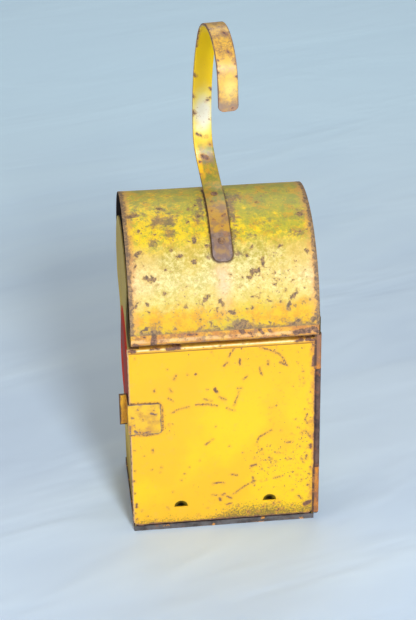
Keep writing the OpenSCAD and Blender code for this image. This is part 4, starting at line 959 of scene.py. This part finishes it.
# Fount: the oil tank, tinned sheet with a soldered lid, which slides in between guides on
# the base. Oil has run down from the filler and darkened it.
fount_lid_z, foot_seam_z = span("fount_lid")[1][2] / 1000, 0.0022
dress(tinplate("fount_tin", 170, 0.75, (fount_lid_z - 0.0006, foot_seam_z)), "fount_tank", "fount_lid")


# Burner: turned brass that screws into the fount's collar. Its flange carries the wick tube,
# and a cap with a slot spreads the air over the flat wick. Soot lies on all that is near the flame.
def aged_brass(name, seed, black=None):
    """Brass gone brown, with verdigris in its hollows; black is the height in m above which soot lies."""
    brass = Finish(name)
    tarnish = brass.noise(90, 4, 0.65, seed)
    verdigris = (brass.noise(160, 4, 0.7, seed + 1) + brass.noise(30, 2, 0.5, seed + 2) * 0.3).step(0.74, 0.82)
    colour = brass.coats(
        (198, 158, 84), ((128, 92, 50), tarnish.step(0.4, 0.62)), ((96, 138, 116), verdigris * 0.8))
    dull = verdigris
    if black:
        soot = (brass.z + brass.stray(120, 3, 0.6, seed + 3, 0.012)).step(black - 0.004, black + 0.003)
        colour, dull = brass.mix(colour, (34, 29, 26), soot * 0.85), dull.most(soot)
    scratches = brass.noise(1, 2, 0.5, seed + 4, brass.stretched(300, 300, 1800))
    return brass.end(colour, scratches * 0.12 + 0.24 + dull * 0.45, scratches * 0.4 + tarnish - verdigris * 0.4,
                     0.00015, Metallic=1 - dull * 0.9)


dress(aged_brass("fount_brass", 180), "burner_collar", "filler_neck", "winder_spindle", "winder_wheel")
dress(aged_brass("burner_brass", 190, 0.094), "burner_dome", "wick_tube", "burner_body")

# Wick and its winder: a flat cotton wick, raised by a small toothed wheel on a spindle that
# comes out at the front with a milled brass knob.
(wick_in, wick_front, wick_foot), (wick_out, wick_rear, wick_top) = span("wick")
wick_mid, wick_half, burnt_h, ribs = (wick_front + wick_rear) / 2, (wick_rear - wick_front) / 2 * 0.985, 1.5, 6
wick_zs = np.concatenate([
    np.linspace(wick_foot, wick_top - burnt_h, 46), np.linspace(wick_top - 1.2, wick_top, 5)])
burnt = np.maximum(0, (wick_zs - wick_top + burnt_h) / burnt_h)[:, None]
sway = 0.05 * np.sin(np.arange(len(wick_zs)) * 1.7)[:, None]
cords = np.linspace(-1, 1, 49)
cords = np.concatenate([cords, cords[::-1]])
wick_face = np.where(np.arange(98) < 49, wick_out, wick_in) * (
    1 - 0.13 * np.abs(np.sin(cords * ribs * math.pi)))
woven = stood("wick_tape", skin("wick_tape", (
    wick_face * (1 - 0.25 * burnt) + sway * 0.5, wick_mid + wick_half * cords,
    wick_zs[:, None] - 0.5 * burnt * np.abs(np.sin(7 * cords + 2))), weld=0, closed=True))
cotton = Finish("wick_cotton")
twill = cotton.node("ShaderNodeMath", {"operation": "SINE"}, {0: cotton.z * 7000})
weave = twill * 0.5 + cotton.noise(1300, 2, 0.6, 200)
charred = (cotton.z + cotton.stray(400, 3, 0.6, 202, 0.002)).step(
    wick_top / 1000 - 0.004, wick_top / 1000 - 0.0015)
wick_colour = cotton.coats(
    (196, 180, 140), ((150, 126, 84), cotton.noise(60, 3, 0.6, 201)), ((24, 20, 18), charred))
place(woven, cotton.end(wick_colour, cotton.noise(500, 2) * 0.1 + 0.85, weave, 0.0003),
      "wick", "wick_cotton", "wick")
dress(aged_brass("knob_brass", 210), "winder_knob")

# Filler cap: turned brass with a milled edge, screwed on the fount's neck over its washer.
dress(aged_brass("cap_brass", 220), "filler_cap")
